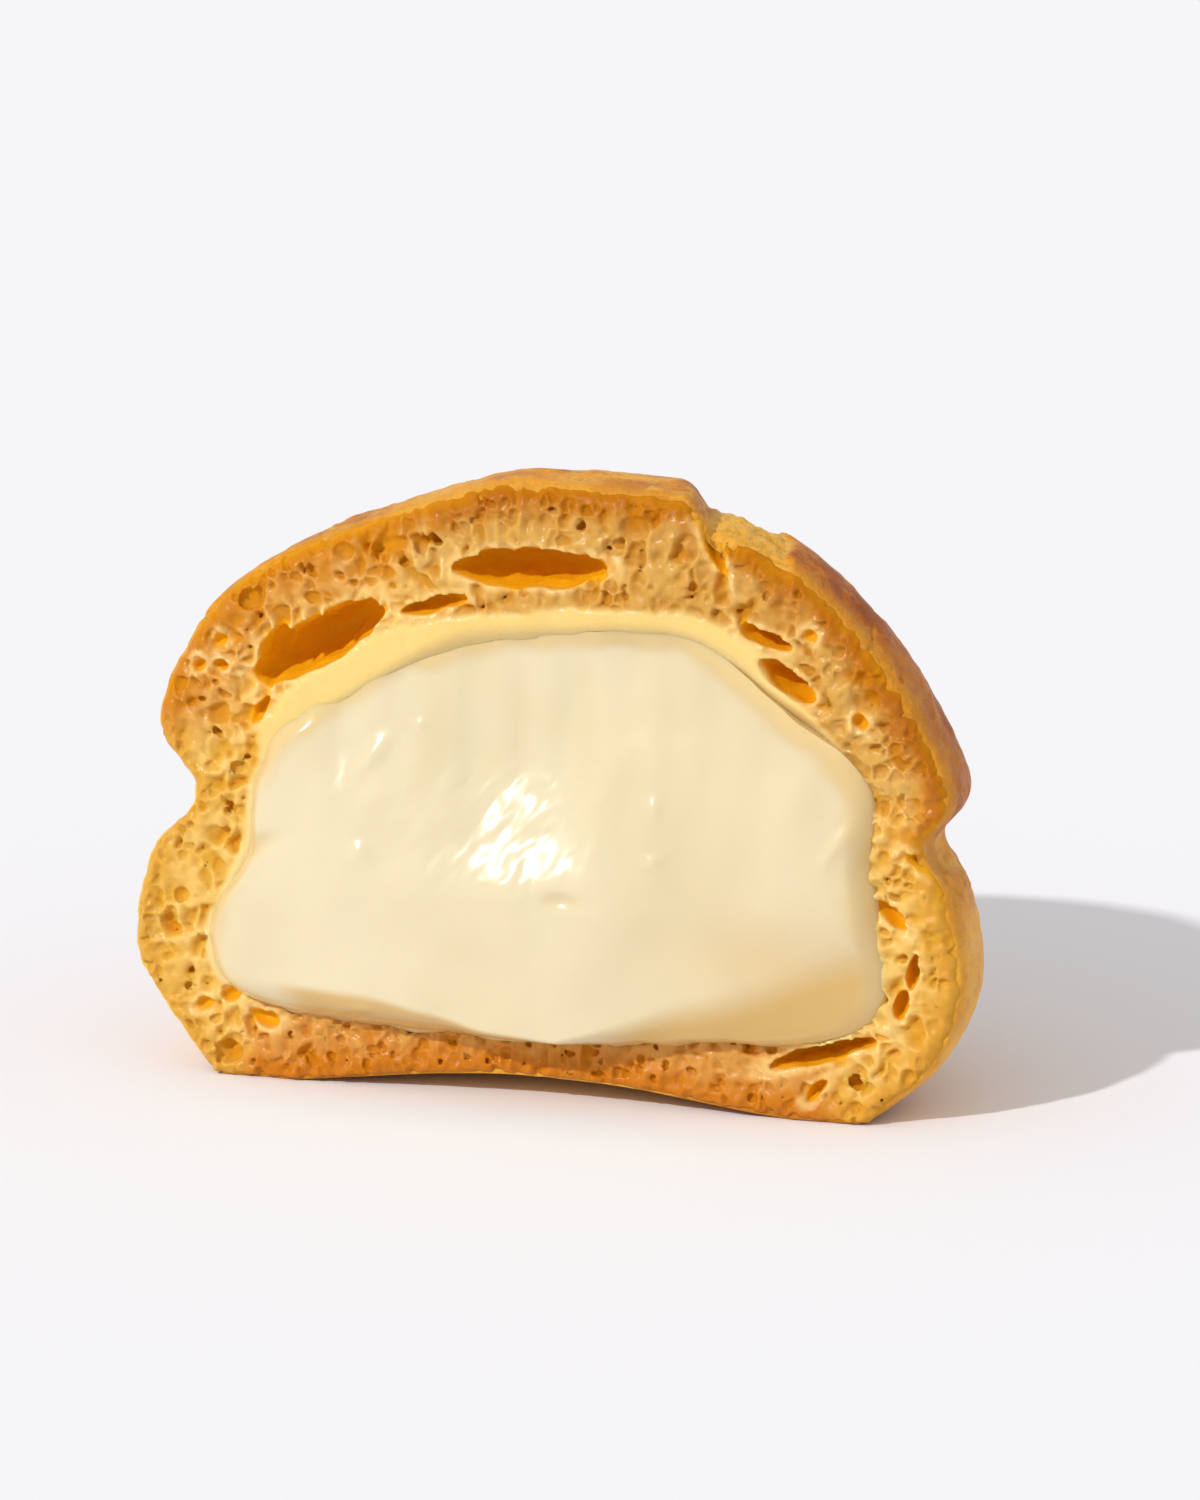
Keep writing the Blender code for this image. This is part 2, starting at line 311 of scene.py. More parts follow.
def fold_drop(x, y):
    """How far the fold lowers the dome at (x, y)."""
    across = x - FOLD_FRONT_X + FOLD_DRIFT * (y + CUT_SETBACK)
    along = 1.0 - smooth_step((y + CUT_SETBACK - 0.4 * FOLD_LENGTH) / (0.6 * FOLD_LENGTH))
    step = FOLD_STEP * np.tanh(across / FOLD_STEP_WIDTH) * np.exp(-(across / FOLD_REACH) ** 2)
    groove = FOLD_GROOVE * np.exp(-(across / FOLD_STEP_WIDTH) ** 2)
    return along * (0.5 * step + groove)


def base_height(x, y):
    """Height of the underside: flat, with a shallow arch at the cut."""
    across = np.clip(1.0 - (x / ARCH_HALF_WIDTH) ** 2, 0.0, 1.0) ** 1.5
    return ARCH_RISE * across * (1.0 - smooth_step((y + CUT_SETBACK) / ARCH_DEPTH))


def shell_surface(azimuth, elevation):
    """Outer surface of the baked shell."""
    radius = shell_radius(azimuth, elevation)
    x = radius * np.cos(elevation) * np.cos(azimuth)
    y = radius * np.cos(elevation) * np.sin(azimuth)
    z = radius * np.sin(elevation) + CENTRE_HEIGHT
    z = z - fold_drop(x, y) * smooth_step((elevation - 0.45) / 0.25)
    base = base_height(x, y)
    soften = np.clip(1.0 - np.abs(z - base) / BASE_EDGE_ROUND, 0.0, 1.0)
    return np.stack([x, y, np.maximum(z, base) + soften ** 2 * BASE_EDGE_ROUND / 4.0], axis=-1)


def angles_of(points):
    """Azimuth, elevation and radius of points, seen from the centre height on the axis."""
    x, y, z = points[:, 0], points[:, 1], points[:, 2] - CENTRE_HEIGHT
    radius = np.sqrt(x * x + y * y + z * z)
    return np.arctan2(y, x), np.arcsin(np.clip(z / np.maximum(radius, 1e-6), -1.0, 1.0)), radius


def skin_depth(points):
    """How deep points lie under the shell's outer surface, in millimetres."""
    azimuth, elevation, radius = angles_of(points)
    drop = fold_drop(points[:, 0], points[:, 1]) * smooth_step((elevation - 0.45) / 0.25)
    depth = shell_radius(azimuth, elevation) - radius - drop * np.maximum(np.sin(elevation), 0.0)
    over_base = points[:, 2] - base_height(points[:, 0], points[:, 1])
    return np.minimum(depth * 0.97, over_base)


def wall_depth(points):
    """How far points lie outside the cavity that the custard fills, in millimetres."""
    azimuth, elevation, radius = angles_of(points)
    return (radius - filling_radius(azimuth, elevation)) * 0.95


# --------------------------------------------------------------------------- placing
def shell_axis():
    """Where the puff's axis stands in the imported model, from the shell's box there."""
    low, high = (np.array(corner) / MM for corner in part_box("choux_shell"))
    azimuth, elevation = np.meshgrid(np.radians(np.arange(-60.0, 241.0, 1.0)),
                                     np.radians(np.arange(-40.0, 90.0, 1.0)))
    surface = shell_surface(azimuth, elevation)
    kept = surface[surface[..., 1] >= -CUT_SETBACK]
    middle = (kept[:, 0].min() + kept[:, 0].max()) / 2.0
    return np.array([(low[0] + high[0]) / 2.0 - middle, low[1] + CUT_SETBACK, 0.0])


AXIS = shell_axis()


def make_piece(name, points, faces):
    """Mesh object from points in the puff's millimetres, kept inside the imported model's box."""
    mesh = bpy.data.meshes.new(name)
    places = np.clip((points + AXIS) * MM, cad_box[0], cad_box[1])
    mesh.from_pydata(places.tolist(), [], faces)
    mesh.update()
    mesh.shade_smooth()
    item = bpy.data.objects.new(name, mesh)
    bpy.context.scene.collection.objects.link(item)
    return item


def set_attribute(item, name, values):
    """Store one number for each point of a mesh."""
    layer = item.data.attributes.new(name, "FLOAT", "POINT")
    layer.data.foreach_set("value", np.asarray(values, dtype=np.float32))


# --------------------------------------------------------------------------- sheets of cells
def round_grid(cells):
    """Square grid laid over a round disc: distance from its middle (0 to 1) and angle."""
    across = np.linspace(-1.0, 1.0, cells + 1)
    u, v = np.meshgrid(across, across, indexing="ij")
    wide = np.abs(u) > np.abs(v)
    safe_u = np.where(np.abs(u) < 1e-9, 1e-9, u)
    safe_v = np.where(np.abs(v) < 1e-9, 1e-9, v)
    angle = np.where(wide, math.pi / 4.0 * v / safe_u, math.pi / 2.0 - math.pi / 4.0 * u / safe_v)
    reach = np.where(wide, u, v)
    flip = reach < 0.0
    return np.abs(reach), np.where(flip, angle + math.pi, angle)


def grid_index(cells):
    """Number of each grid point, and the boundary as a loop."""
    index = np.arange((cells + 1) ** 2).reshape(cells + 1, cells + 1)
    loop = np.concatenate([index[:-1, 0], index[-1, :-1], index[:0:-1, -1], index[0, :0:-1]])
    return index, loop


def grid_faces(index, flip):
    """Quads of a grid."""
    quads = np.stack([index[:-1, :-1], index[1:, :-1], index[1:, 1:], index[:-1, 1:]], axis=-1)
    quads = quads.reshape(-1, 4)
    return (quads[:, ::-1] if flip else quads).tolist()


def closed_pair(front, back, share):
    """Join a fine front grid and a back grid with a share of its cells into one closed mesh."""
    cells = front.shape[0] - 1
    index, loop = grid_index(cells)
    back_index, back_loop = grid_index(cells // share)
    back_index = back_index + index.size
    back_loop = back_loop + index.size
    faces = grid_faces(index, False) + grid_faces(back_index, True)
    for i, vert in enumerate(back_loop):
        after = back_loop[(i + 1) % len(back_loop)]
        fine = [loop[(i * share + k) % len(loop)] for k in range(share + 1)]
        faces.append([int(part) for part in fine[::-1]] + [int(vert), int(after)])
    points = np.vstack([front.reshape(-1, 3), back.reshape(-1, 3)])
    return points, faces


def grid_normals(points):
    """Unit normals of a grid of points; a corner takes the normal of the point inside it."""
    along = np.gradient(points, axis=0)
    across = np.gradient(points, axis=1)
    normal = np.cross(along, across)
    for i, next_i in ((0, 1), (-1, -2)):
        for j, next_j in ((0, 1), (-1, -2)):
            normal[i, j] = normal[next_i, next_j]
    return normal / np.maximum(np.linalg.norm(normal, axis=-1, keepdims=True), 1e-9)


# --------------------------------------------------------------------------- crust
def direction_angles(angle, turn):
    """Azimuth and elevation of directions given by their angle from +Y and turn round it."""
    x, y, z = np.sin(angle) * np.cos(turn), np.cos(angle), np.sin(angle) * np.sin(turn)
    return np.arctan2(y, x), np.arcsin(np.clip(z, -1.0, 1.0))


def angle_where(turn, y):
    """Angle from the back at which the shell's surface passes through y."""
    angle = np.full(turn.shape, math.pi / 2.0 + 0.1)
    for _ in range(14):
        azimuth, elevation = direction_angles(angle, turn)
        angle = math.pi / 2.0 + np.arcsin(-y / shell_radius(azimuth, elevation))
    return angle


def edge_round(x, z):
    """Radius of the rounded edge between the crust and the cut."""
    turn = np.arctan2(z - CENTRE_HEIGHT, x) - math.radians(EDGE_ROUND_TOWARD)
    return EDGE_ROUND_LEAST + EDGE_ROUND_MORE * smooth_step(0.5 + 0.5 * np.cos(turn))


def crust_sheet(cells):
    """Grid over the outer surface from the back to its torn rim on the cut."""
    reach, turn = round_grid(cells)
    rolled = np.clip((reach - 0.93) / 0.07, 0.0, 1.0)
    rounding = edge_round(np.cos(turn), CENTRE_HEIGHT + np.sin(turn))
    inward = np.stack([-np.cos(turn), np.zeros(turn.shape), -np.sin(turn)], axis=-1)
    corner = shell_surface(*direction_angles(angle_where(turn, np.full(turn.shape, -CUT_SETBACK)), turn))
    corner[..., 1] = -CUT_SETBACK
    loop = np.stack([40.0 * np.cos(turn), np.zeros(turn.shape), 40.0 * np.sin(turn)], axis=-1)
    ragged = layered_noise(loop.reshape(-1, 3), 6.0, 141, 3, 0.6).reshape(turn.shape)
    behind_cut = RIM_BEHIND_CUT + 0.15 * noise(loop.reshape(-1, 3), 9.0, 143).reshape(turn.shape)
    corner[..., 1] += behind_cut
    start = angle_where(turn, rounding + behind_cut - CUT_SETBACK)
    angle = np.clip(reach / 0.93, 0.0, 1.0) * start
    points = shell_surface(*direction_angles(angle, turn))
    far_side = smooth_step(0.5 - 0.9 * np.cos(turn - math.radians(20.0)))
    end = np.clip(0.5 + 0.5 * ragged - 0.2 * far_side, 0.1, 0.9)
    front = corner + inward * rounding[..., None]
    u = (rolled * end)[..., None]
    curve = (1.0 - u) ** 2 * points + 2.0 * u * (1.0 - u) * corner + u ** 2 * front
    return np.where(rolled[..., None] > 0.0, curve, points), reach


def crust_relief(points):
    """Height of the crust's unevenness at points on it, and the masks that colour it."""
    x, y, z = points[:, 0], points[:, 1], points[:, 2]
    azimuth, elevation, radius = angles_of(points)
    stretched = points * np.array([0.75, 0.75, 1.3])
    lumps = layered_noise(points, 13.0, 11, 2)
    folds = 1.0 - np.abs(layered_noise(stretched + 3.0, 7.0, 23, 3))
    wrinkles = 1.0 - np.abs(noise(stretched, 2.6, 31))
    fine = noise(points, 1.1, 41)
    torn_noise = layered_noise(points, 2.6, 53, 3, 0.65)
    over_waist = 37.0 * (elevation + waist_wave(azimuth, elevation) - 0.05)
    over_waist = over_waist + 1.8 * noise(points * np.array([1.0, 1.0, 0.3]), 7.0, 61)
    over_waist = over_waist + 0.7 * noise(points, 2.4, 62)
    waist = smooth_step((2.0 - over_waist) / 0.9) * smooth_step((over_waist + 3.2) / 2.6)
    waist = waist * smooth_step(0.7 + 1.6 * noise(points, 11.0, 63)) * smooth_step((y + CUT_SETBACK - 0.6) / 4.0)
    across = x - FOLD_FRONT_X + FOLD_DRIFT * (y + CUT_SETBACK)
    across = across + 1.8 * noise(points, 8.0, 68) * smooth_step((y + CUT_SETBACK - 1.0) / 5.0)
    along = 1.0 - smooth_step((y + CUT_SETBACK - 0.4 * FOLD_LENGTH) / (0.6 * FOLD_LENGTH))
    trough = window(across, 0.6, 7.4 + 0.8 * noise(points, 3.0, 67), 0.8) * along
    trough = trough * smooth_step((z - 40.0) / 6.0)
    torn = np.maximum(waist, trough)
    line = layered_noise(stretched + 40.0, 12.0, 71, 4, 0.6)
    place_of_cracks = smooth_step((noise(points, 7.0, 83) - 0.2) * 4.0) * smooth_step((z - 14.0) / 8.0)
    cracks = np.exp(-(line / 0.03) ** 2) * place_of_cracks
    lip = np.tanh(line / 0.05) * np.exp(-(line / 0.14) ** 2) * place_of_cracks
    pores = np.clip(-bubble_distance(points, 2.4, 97, 0.25, 0.08, 0.20), 0.0, 0.5)
    front_edge = smooth_step(1.0 - (y + CUT_SETBACK) / 3.0)
    pale_side = smooth_step((-x - 26.0) / 6.0) * smooth_step((37.0 - z) / 6.0)
    nibbled = np.abs(layered_noise(points * np.array([1.0, 0.4, 1.0]), 2.6, 107, 2))
    height = (0.34 * lumps + 0.22 * (folds - 0.75) + 0.16 * (wrinkles - 0.7) + 0.06 * fine
              + 0.13 * lip - 0.28 * cracks - 0.6 * pores
              + torn * (0.80 * torn_noise - 0.25) - 0.85 * waist - 0.55 * trough
              - 0.65 * nibbled * front_edge * np.maximum(pale_side, 0.25))
    flat_base = smooth_step((z - 0.8) / 3.0)
    foot = smooth_step((23.0 + 4.0 * lumps - z) / 8.0)
    # Painted shade: the upper right side, turned away from the key light, is darkened to a deeper brown.
    right_side_shade = smooth_step((x - 20.0 + 5.0 * noise(points, 12.0, 103)) / 8.0) * smooth_step((z - 26.0) / 6.0)
    masks = {"crack": cracks, "torn": torn, "torn_deep": torn * smooth_step(0.2 - 2.0 * torn_noise),
             "foot": foot, "pore": pores, "right_side_shade": right_side_shade, "base": smooth_step((2.2 - z) / 1.6),
             "pale_side": pale_side}
    return (height - SKIN_SETBACK) * flat_base, masks


def rim_dive(reach):
    """How far the crust's torn rim dips into the crumb."""
    return (RIM_DIVE * smooth_step((reach - 0.97) / 0.03))[..., None]


def build_crust():
    """Thin closed shell of baked skin with its wrinkles, cracks, pores and torn waist."""
    outer, reach = crust_sheet(CRUST_CELLS)
    normal = outward_normals(outer)
    shape = outer.shape
    height, masks = crust_relief(outer.reshape(-1, 3))
    height = height.reshape(shape[:2] + (1,)) - rim_dive(reach)
    outer = outer + normal * height
    outer[..., 1] = np.maximum(outer[..., 1], -CUT_SETBACK)
    outer[..., 2] = np.maximum(outer[..., 2], 0.0)
    inner, inner_reach = crust_sheet(CRUST_CELLS // CRUST_BACK_SHARE)
    thick = SKIN_BEHIND + (SKIN_AT_RIM - SKIN_BEHIND) * smooth_step(inner_reach * 10.0 - 9.0)
    height_behind = height[::CRUST_BACK_SHARE, ::CRUST_BACK_SHARE]
    depth = np.minimum(height_behind + rim_dive(reach)[::CRUST_BACK_SHARE, ::CRUST_BACK_SHARE], 0.0)
    inner = inner + outward_normals(inner) * (depth - thick[..., None] - rim_dive(inner_reach))
    points, faces = closed_pair(outer, inner, CRUST_BACK_SHARE)
    item = make_piece("crust", points, faces)
    back = np.zeros(len(points) - shape[0] * shape[1])
    for name, values in masks.items():
        set_attribute(item, name, np.concatenate([values, back]))
    set_attribute(item, "rim", np.concatenate([smooth_step((reach.ravel() - 0.90) / 0.06), back]))
    return item


def outward_normals(points):
    """Unit normals of a grid that covers the shell, pointing away from its middle."""
    normal = grid_normals(points)
    facing = (normal * (points - np.array([0.0, 0.0, CENTRE_HEIGHT]))).sum()
    return -normal if facing < 0.0 else normal


# --------------------------------------------------------------------------- crumb
AIR_POCKETS = {
    "left_pocket": ((-21.3, 42.9), 7.6, 2.3, 8.0, 31.0),
    "left_pocket_end": ((-25.6, 41.3), 3.2, 1.5, 6.0, 72.0),
    "left_sliver": ((-9.9, 47.2), 3.6, 0.8, 3.5, 16.0),
    "crown_pocket": ((-0.6, 51.2), 7.7, 1.9, 7.0, 2.0),
    "right_pocket": ((24.6, 42.0), 3.3, 1.15, 5.0, -36.0),
    "right_slit": ((22.4, 45.9), 2.8, 0.8, 4.0, -22.0),
    "floor_slit": ((28.2, 6.8), 5.4, 0.85, 5.0, 18.0),
    "flank_slit": ((-27.1, 36.0), 1.9, 0.55, 2.5, 58.0),
    "right_hole": ((34.6, 20.5), 2.1, 0.8, 2.5, -38.0),
    "lower_slot": ((35.5, 12.0), 0.7, 1.6, 3.0, -10.0),
    "upper_slot": ((36.7, 15.2), 0.6, 1.8, 3.0, -12.0),
    "base_hole": ((27.6, 3.2), 1.6, 0.7, 2.5, 50.0),
    "waist_crack": ((38.4, 25.0), 3.0, 0.7, 3.0, -28.0),
    "fold_crack": ((17.4, 53.6), 2.6, 0.55, 3.0, -60.0),
    "low_left_bowl": ((-30.2, 7.9), 1.1, 0.9, 1.8, 10.0),
    "outer_left_bowl": ((-33.0, 7.0), 1.0, 0.7, 1.6, 30.0),
    "corner_bowl": ((-26.9, 6.1), 1.7, 0.9, 1.9, -14.0),
    "upper_left_cell": ((-33.2, 40.0), 0.9, 0.8, 1.7, 20.0),
    "middle_left_cell": ((-31.0, 42.5), 0.9, 0.7, 1.7, 30.0),
    "inner_left_cell": ((-30.9, 40.2), 0.8, 0.7, 1.7, 0.0),
    "right_cell": ((26.6, 46.6), 0.9, 0.7, 1.6, -40.0),
    "far_right_cell": ((31.6, 38.6), 1.1, 0.8, 1.8, -60.0),
}


def pocket_distance(points):
    """Distance to the large air pockets that open in the cut, less than 0 inside one."""
    wobble = np.stack([noise(points, 2.2, 201), noise(points, 2.2, 202)], axis=1)
    ragged = layered_noise(points, 1.1, 205, 2)
    best = np.full(len(points), 9.0)
    for centre, half_length, half_height, depth, slope in AIR_POCKETS.values():
        tilt = math.radians(slope)
        dx = points[:, 0] - centre[0] + 0.35 * wobble[:, 0]
        dz = points[:, 2] - centre[1] + 0.35 * wobble[:, 1]
        along = (dx * math.cos(tilt) + dz * math.sin(tilt)) / half_length
        across = (dz * math.cos(tilt) - dx * math.sin(tilt)) / half_height
        inward = (points[:, 1] + CUT_SETBACK) / depth
        size = np.sqrt(along ** 2 + across ** 2 + inward ** 2)
        upper = smooth_step(across * 0.7 + 0.4) * min(half_height, 1.6)
        front = smooth_step(1.0 - (points[:, 1] + CUT_SETBACK) / 1.8)
        distance = (size - 1.0) * half_height + 0.42 * ragged * upper * front
        best = np.minimum(best, distance)
    return best


def pocket_reach(points):
    """Rough distance to the nearest air pocket."""
    best = np.full(len(points), 99.0)
    for centre, half_length, half_height, depth, slope in AIR_POCKETS.values():
        away = np.hypot(points[:, 0] - centre[0], points[:, 2] - centre[1])
        best = np.minimum(best, away - max(half_length, half_height))
    return best


def crumb_zones(points):
    """Depths of points under the crust and round the custard, and the crumb's zones."""
    skin = skin_depth(points)
    wall = wall_depth(points)
    x, z = points[:, 0], points[:, 2]
    bottom = smooth_step((9.5 - z) / 3.0) * smooth_step((31.0 - np.abs(x)) / 4.0)
    left = smooth_step((-x - 24.0) / 4.0) * smooth_step((36.0 - z) / 5.0) * (1.0 - bottom)
    right = smooth_step((x - 24.0) / 5.0) * (1.0 - bottom)
    top = smooth_step((z - 30.0) / 9.0)
    upper_left = smooth_step((-x - 9.0) / 6.0) * smooth_step((z - 30.0) / 5.0)
    lining = -1.6 + 3.9 * top * (1.0 - 0.7 * right) + 1.9 * left + 0.9 * right + 1.7 * upper_left
    lining = lining + 1.0 * layered_noise(points * np.array([1.0, 0.0, 1.0]), 6.0, 221, 2)
    lined = smooth_step(1.0 - (wall - lining) / 0.9)
    baked = np.maximum(smooth_step((x + 15.0) / 9.0) * top, 0.85 * right * smooth_step((z - 28.0) / 6.0))
    flank = np.maximum(left, 0.75 * right * smooth_step((30.0 - z) / 5.0))
    return {"upper_left": upper_left, "baked": baked, "flank": flank, "skin": skin, "wall": wall, "bottom": bottom,
            "left": left, "right": right, "top": top, "lined": lined}


def crumb_level(points):
    """How far behind the cut the crumb's face lies on the whole, without its small relief."""
    return 0.55 + 0.55 * layered_noise(points * np.array([1.0, 0.3, 1.0]), 5.0, 301, 2)


def crumb_face(points, zones):
    """How far behind the cut the torn face of the crumb lies."""
    flat = points * np.array([1.0, 0.3, 1.0])
    warp = np.stack([noise(flat, 1.7, 331 + k) for k in range(3)], axis=1)
    moved = points + 0.6 * warp
    coarse = torn_cells(moved * np.array([1.0, 1.0, 0.8]), 2.2, 341)
    tight = torn_cells(moved, 1.15, 347)
    blend = smooth_step(0.5 + 1.6 * noise(flat, 4.5, 351))
    bowls = 0.95 * coarse * blend + 0.55 * tight * (1.0 - 0.6 * blend)
    turn = np.arctan2(points[:, 2] - CENTRE_HEIGHT, points[:, 0])
    reach = np.hypot(points[:, 2] - CENTRE_HEIGHT, points[:, 0])
    spoke = np.stack([38.0 * np.cos(turn), 38.0 * np.sin(turn), 0.35 * reach], axis=1)
    fibres = noise(spoke + 0.3 * warp, 1.0, 361) * smooth_step(0.3 + 2.0 * noise(flat, 6.0, 367))
    grains = noise(flat, 0.9, 304)
    torn = (crumb_level(points) + 0.34 * noise(flat, 1.7, 303) + 0.20 * grains + 0.42 * fibres + bowls)
    granular = 0.25 + 0.60 * tight + 0.35 * grains
    near_skin = smooth_step(1.15 - zones["skin"] / 2.4) * (1.0 - 0.5 * zones["bottom"])
    torn = torn * (1.0 - near_skin) + granular * near_skin
    torn = np.maximum(torn * (1.0 - 0.2 * zones["bottom"]), 0.0)
    smooth = 0.35 + 0.30 * layered_noise(flat, 5.0, 307, 2)
    lined = zones["lined"]
    round_over = np.clip(1.8 - zones["wall"], 0.0, 1.8) ** 2 * 0.34 * zones["top"]
    return torn * (1.0 - lined) + smooth * lined + round_over


def crumb_field(points):
    """Distance inside the crumb's solid, less than 0 in the air."""
    zones = crumb_zones(points)
    skin, wall, lined = zones["skin"], zones["wall"], zones["lined"]
    inward = points[:, 1] + CUT_SETBACK
    pockets = pocket_distance(points)
    under_skin = skin.copy()
    outside = skin < 2.5
    if outside.any():
        height, _ = crust_relief(points[outside])
        deeper = CRUMB_SETBACK_BEHIND * smooth_step((inward[outside] - 1.5) / 2.0)
        under_skin[outside] += np.minimum(height, 0.0) - CRUMB_SETBACK - deeper
    front = inward - crumb_face(points, zones)
    rounding = edge_round(points[:, 0], points[:, 2]) * 0.9
    near_skin, near_front = np.maximum(rounding - under_skin, 0.0), np.maximum(rounding - front, 0.0)
    rounded = rounding - np.hypot(near_skin, near_front)
    solid = np.where((near_skin > 0.0) & (near_front > 0.0), rounded, np.minimum(under_skin, front))
    back = CRUMB_DEPTH + 5.5 * smooth_step((2.5 - pockets) / 2.0)
    solid = np.minimum(np.minimum(solid, wall + 0.15 - 0.6 * zones["upper_left"]), back - inward)
    warp = np.stack([noise(points, 1.5, 311 + k) for k in range(3)], axis=1)
    warped = points + 0.4 * warp
    shrink = 1.2 * lined + smooth_step(1.0 - pockets) + 0.3 * smooth_step(1.0 - under_skin / 1.1)
    shrink = shrink + 0.8 * smooth_step(1.2 - under_skin / 0.5)
    shrink = shrink + 0.25 * np.clip(noise(points, 6.0, 317), 0.0, 1.0)
    bottom = zones["bottom"]
    small = bubble_distance(warped, 1.1, 401, 0.5, 0.18, 0.42)
    small = small + 0.7 * shrink + 0.8 * np.clip(front - 0.25, 0.0, 9.0) + 0.22 - 0.34 * bottom
    middle = bubble_distance(warped, 1.9, 411, 0.5, 0.15, 0.45)
    middle = middle + shrink + 0.35 * bottom + 0.9 * np.clip(front - 0.35, 0.0, 9.0)
    large = bubble_distance(warped * np.array([0.8, 1.0, 1.0]), 3.3, 421, 0.25, 0.15, 0.42)
    large = large + 1.4 * shrink + bottom + 0.5 * smooth_step(1.0 - under_skin / 2.0)
    large = large + 0.8 * np.clip(front - 0.6, 0.0, 9.0)
    solid = np.minimum(solid, np.minimum(small, np.minimum(middle, large)))
    return np.minimum(solid, pockets)


def surface_nets(field, low, step):
    """Closed mesh round the cells of a grid where the field is above 0."""
    inside = field > 0.0
    size = [n - 1 for n in field.shape]
    corners = list(np.ndindex(2, 2, 2))

    def corner(grid, offset):
        return grid[tuple(slice(o, o + n) for o, n in zip(offset, size))]

    count = sum(corner(inside, offset).astype(np.int8) for offset in corners)
    cells = np.argwhere((count > 0) & (count < 8))
    number = np.full(size, -1, dtype=np.int64)
    number[tuple(cells.T)] = np.arange(len(cells))
    total = np.zeros((len(cells), 3))
    hits = np.zeros(len(cells))
    for axis in range(3):
        for offset in corners:
            if offset[axis]:
                continue
            start = cells + offset
            end = start.copy()
            end[:, axis] += 1
            a, b = field[tuple(start.T)], field[tuple(end.T)]
            crossing = (a > 0.0) != (b > 0.0)
            t = np.where(crossing, a / np.where(crossing, a - b, 1.0), 0.0)
            place = start.astype(float)
            place[:, axis] += t
            total += place * crossing[:, None]
            hits += crossing
    points = np.array(low) + total / hits[:, None] * step
    quads = []
    for axis in range(3):
        first, second = (axis + 1) % 3, (axis + 2) % 3
        here = [slice(1, n) for n in size]
        here[axis] = slice(0, size[axis])
        ahead = list(here)
        ahead[axis] = slice(1, size[axis] + 1)
        a, b = inside[tuple(here)], inside[tuple(ahead)]
        edges = np.argwhere(a != b)
        edges[:, first] += 1
        edges[:, second] += 1
        steps = [(0, 0), (1, 0), (1, 1), (0, 1)]
        ring = []
        for back_first, back_second in steps:
            cell = edges.copy()
            cell[:, first] -= back_first
            cell[:, second] -= back_second
            ring.append(number[tuple(cell.T)])
        ring = np.stack(ring, axis=1)
        leaving = inside[tuple(edges.T)]
        quads.append(np.where(leaving[:, None], ring, ring[:, ::-1]))
    return points, np.vstack(quads)


def loose_parts_removed(points, quads, keep_share=0.02):
    """Drop closed bits that are cut off from the main body."""
    label = np.arange(len(points))
    edges = np.vstack([quads[:, [0, 1]], quads[:, [1, 2]], quads[:, [2, 3]], quads[:, [3, 0]]])
    for _ in range(400):
        low = np.minimum(label[edges[:, 0]], label[edges[:, 1]])
        fresh = label.copy()
        np.minimum.at(fresh, edges[:, 0], low)
        np.minimum.at(fresh, edges[:, 1], low)
        fresh = fresh[fresh]
        if (fresh == label).all():
            break
        label = fresh
    names, counts = np.unique(label, return_counts=True)
    kept_names = names[counts > keep_share * len(points)]
    kept = np.isin(label, kept_names)
    renumber = np.cumsum(kept) - 1
    return points[kept], renumber[quads[kept[quads].all(axis=1)]]


def build_crumb():
    """Closed foam body behind the cut."""
    low = np.array([-41.5, -CUT_SETBACK - 0.6, -0.8])
    high = np.array([43.5, -CUT_SETBACK + CRUMB_DEPTH + 6.2, 59.5])
    axes = [np.arange(a, b, CRUMB_STEP) for a, b in zip(low, high)]
    shape = tuple(len(axis) for axis in axes)
    field = np.full(shape, -1.0, dtype=np.float32)
    for i, x in enumerate(axes[0]):
        y, z = np.meshgrid(axes[1], axes[2], indexing="ij")
        points = np.stack([np.full(y.size, x), y.ravel(), z.ravel()], axis=1)
        near = (skin_depth(points) > -0.6) & (wall_depth(points) > -0.6)
        deep = points[:, 1] > -CUT_SETBACK + CRUMB_DEPTH + 0.4
        near &= ~deep | (pocket_reach(points) < 3.2)
        if near.any():
            values = np.full(len(points), -1.0)
            values[near] = crumb_field(points[near])
            field[i] = values.reshape(y.shape)
    for axis in range(3):
        edge = [slice(None)] * 3
        for end in (0, -1):
            edge[axis] = end
            field[tuple(edge)] = -1.0
    points, quads = surface_nets(field, low, CRUMB_STEP)
    points, quads = loose_parts_removed(points, quads)
    item = make_piece("crumb", points, quads.tolist())
    faces = 2 * len(quads)
    if faces > CRUMB_FACES:
        item = thinned(item, CRUMB_FACES / faces)
    co = np.empty(len(item.data.vertices) * 3)
    item.data.vertices.foreach_get("co", co)
    co = co.reshape(-1, 3) / MM - AXIS
    zones = crumb_zones(co)
    for name in ("skin", "wall", "bottom", "flank", "upper_left", "baked", "lined"):
        set_attribute(item, name, zones[name])
    set_attribute(item, "hollow", co[:, 1] + CUT_SETBACK - crumb_level(co))
    set_attribute(item, "depth", co[:, 1] + CUT_SETBACK)
    pockets = pocket_distance(co)
    set_attribute(item, "pocket", smooth_step(1.0 - pockets / 0.5))
    set_attribute(item, "film", smooth_step(1.3 - pockets / 0.55))
    return item


def thinned(item, ratio):
    """The same piece with fewer faces."""
    modifier = item.modifiers.new("painted_shade", "DECIMATE")
    modifier.ratio = ratio
    mesh = bpy.data.meshes.new_from_object(item.evaluated_get(bpy.context.evaluated_depsgraph_get()))
    item.modifiers.clear()
    item.data = mesh
    item.data.name = item.name
    mesh.shade_smooth()
    return item


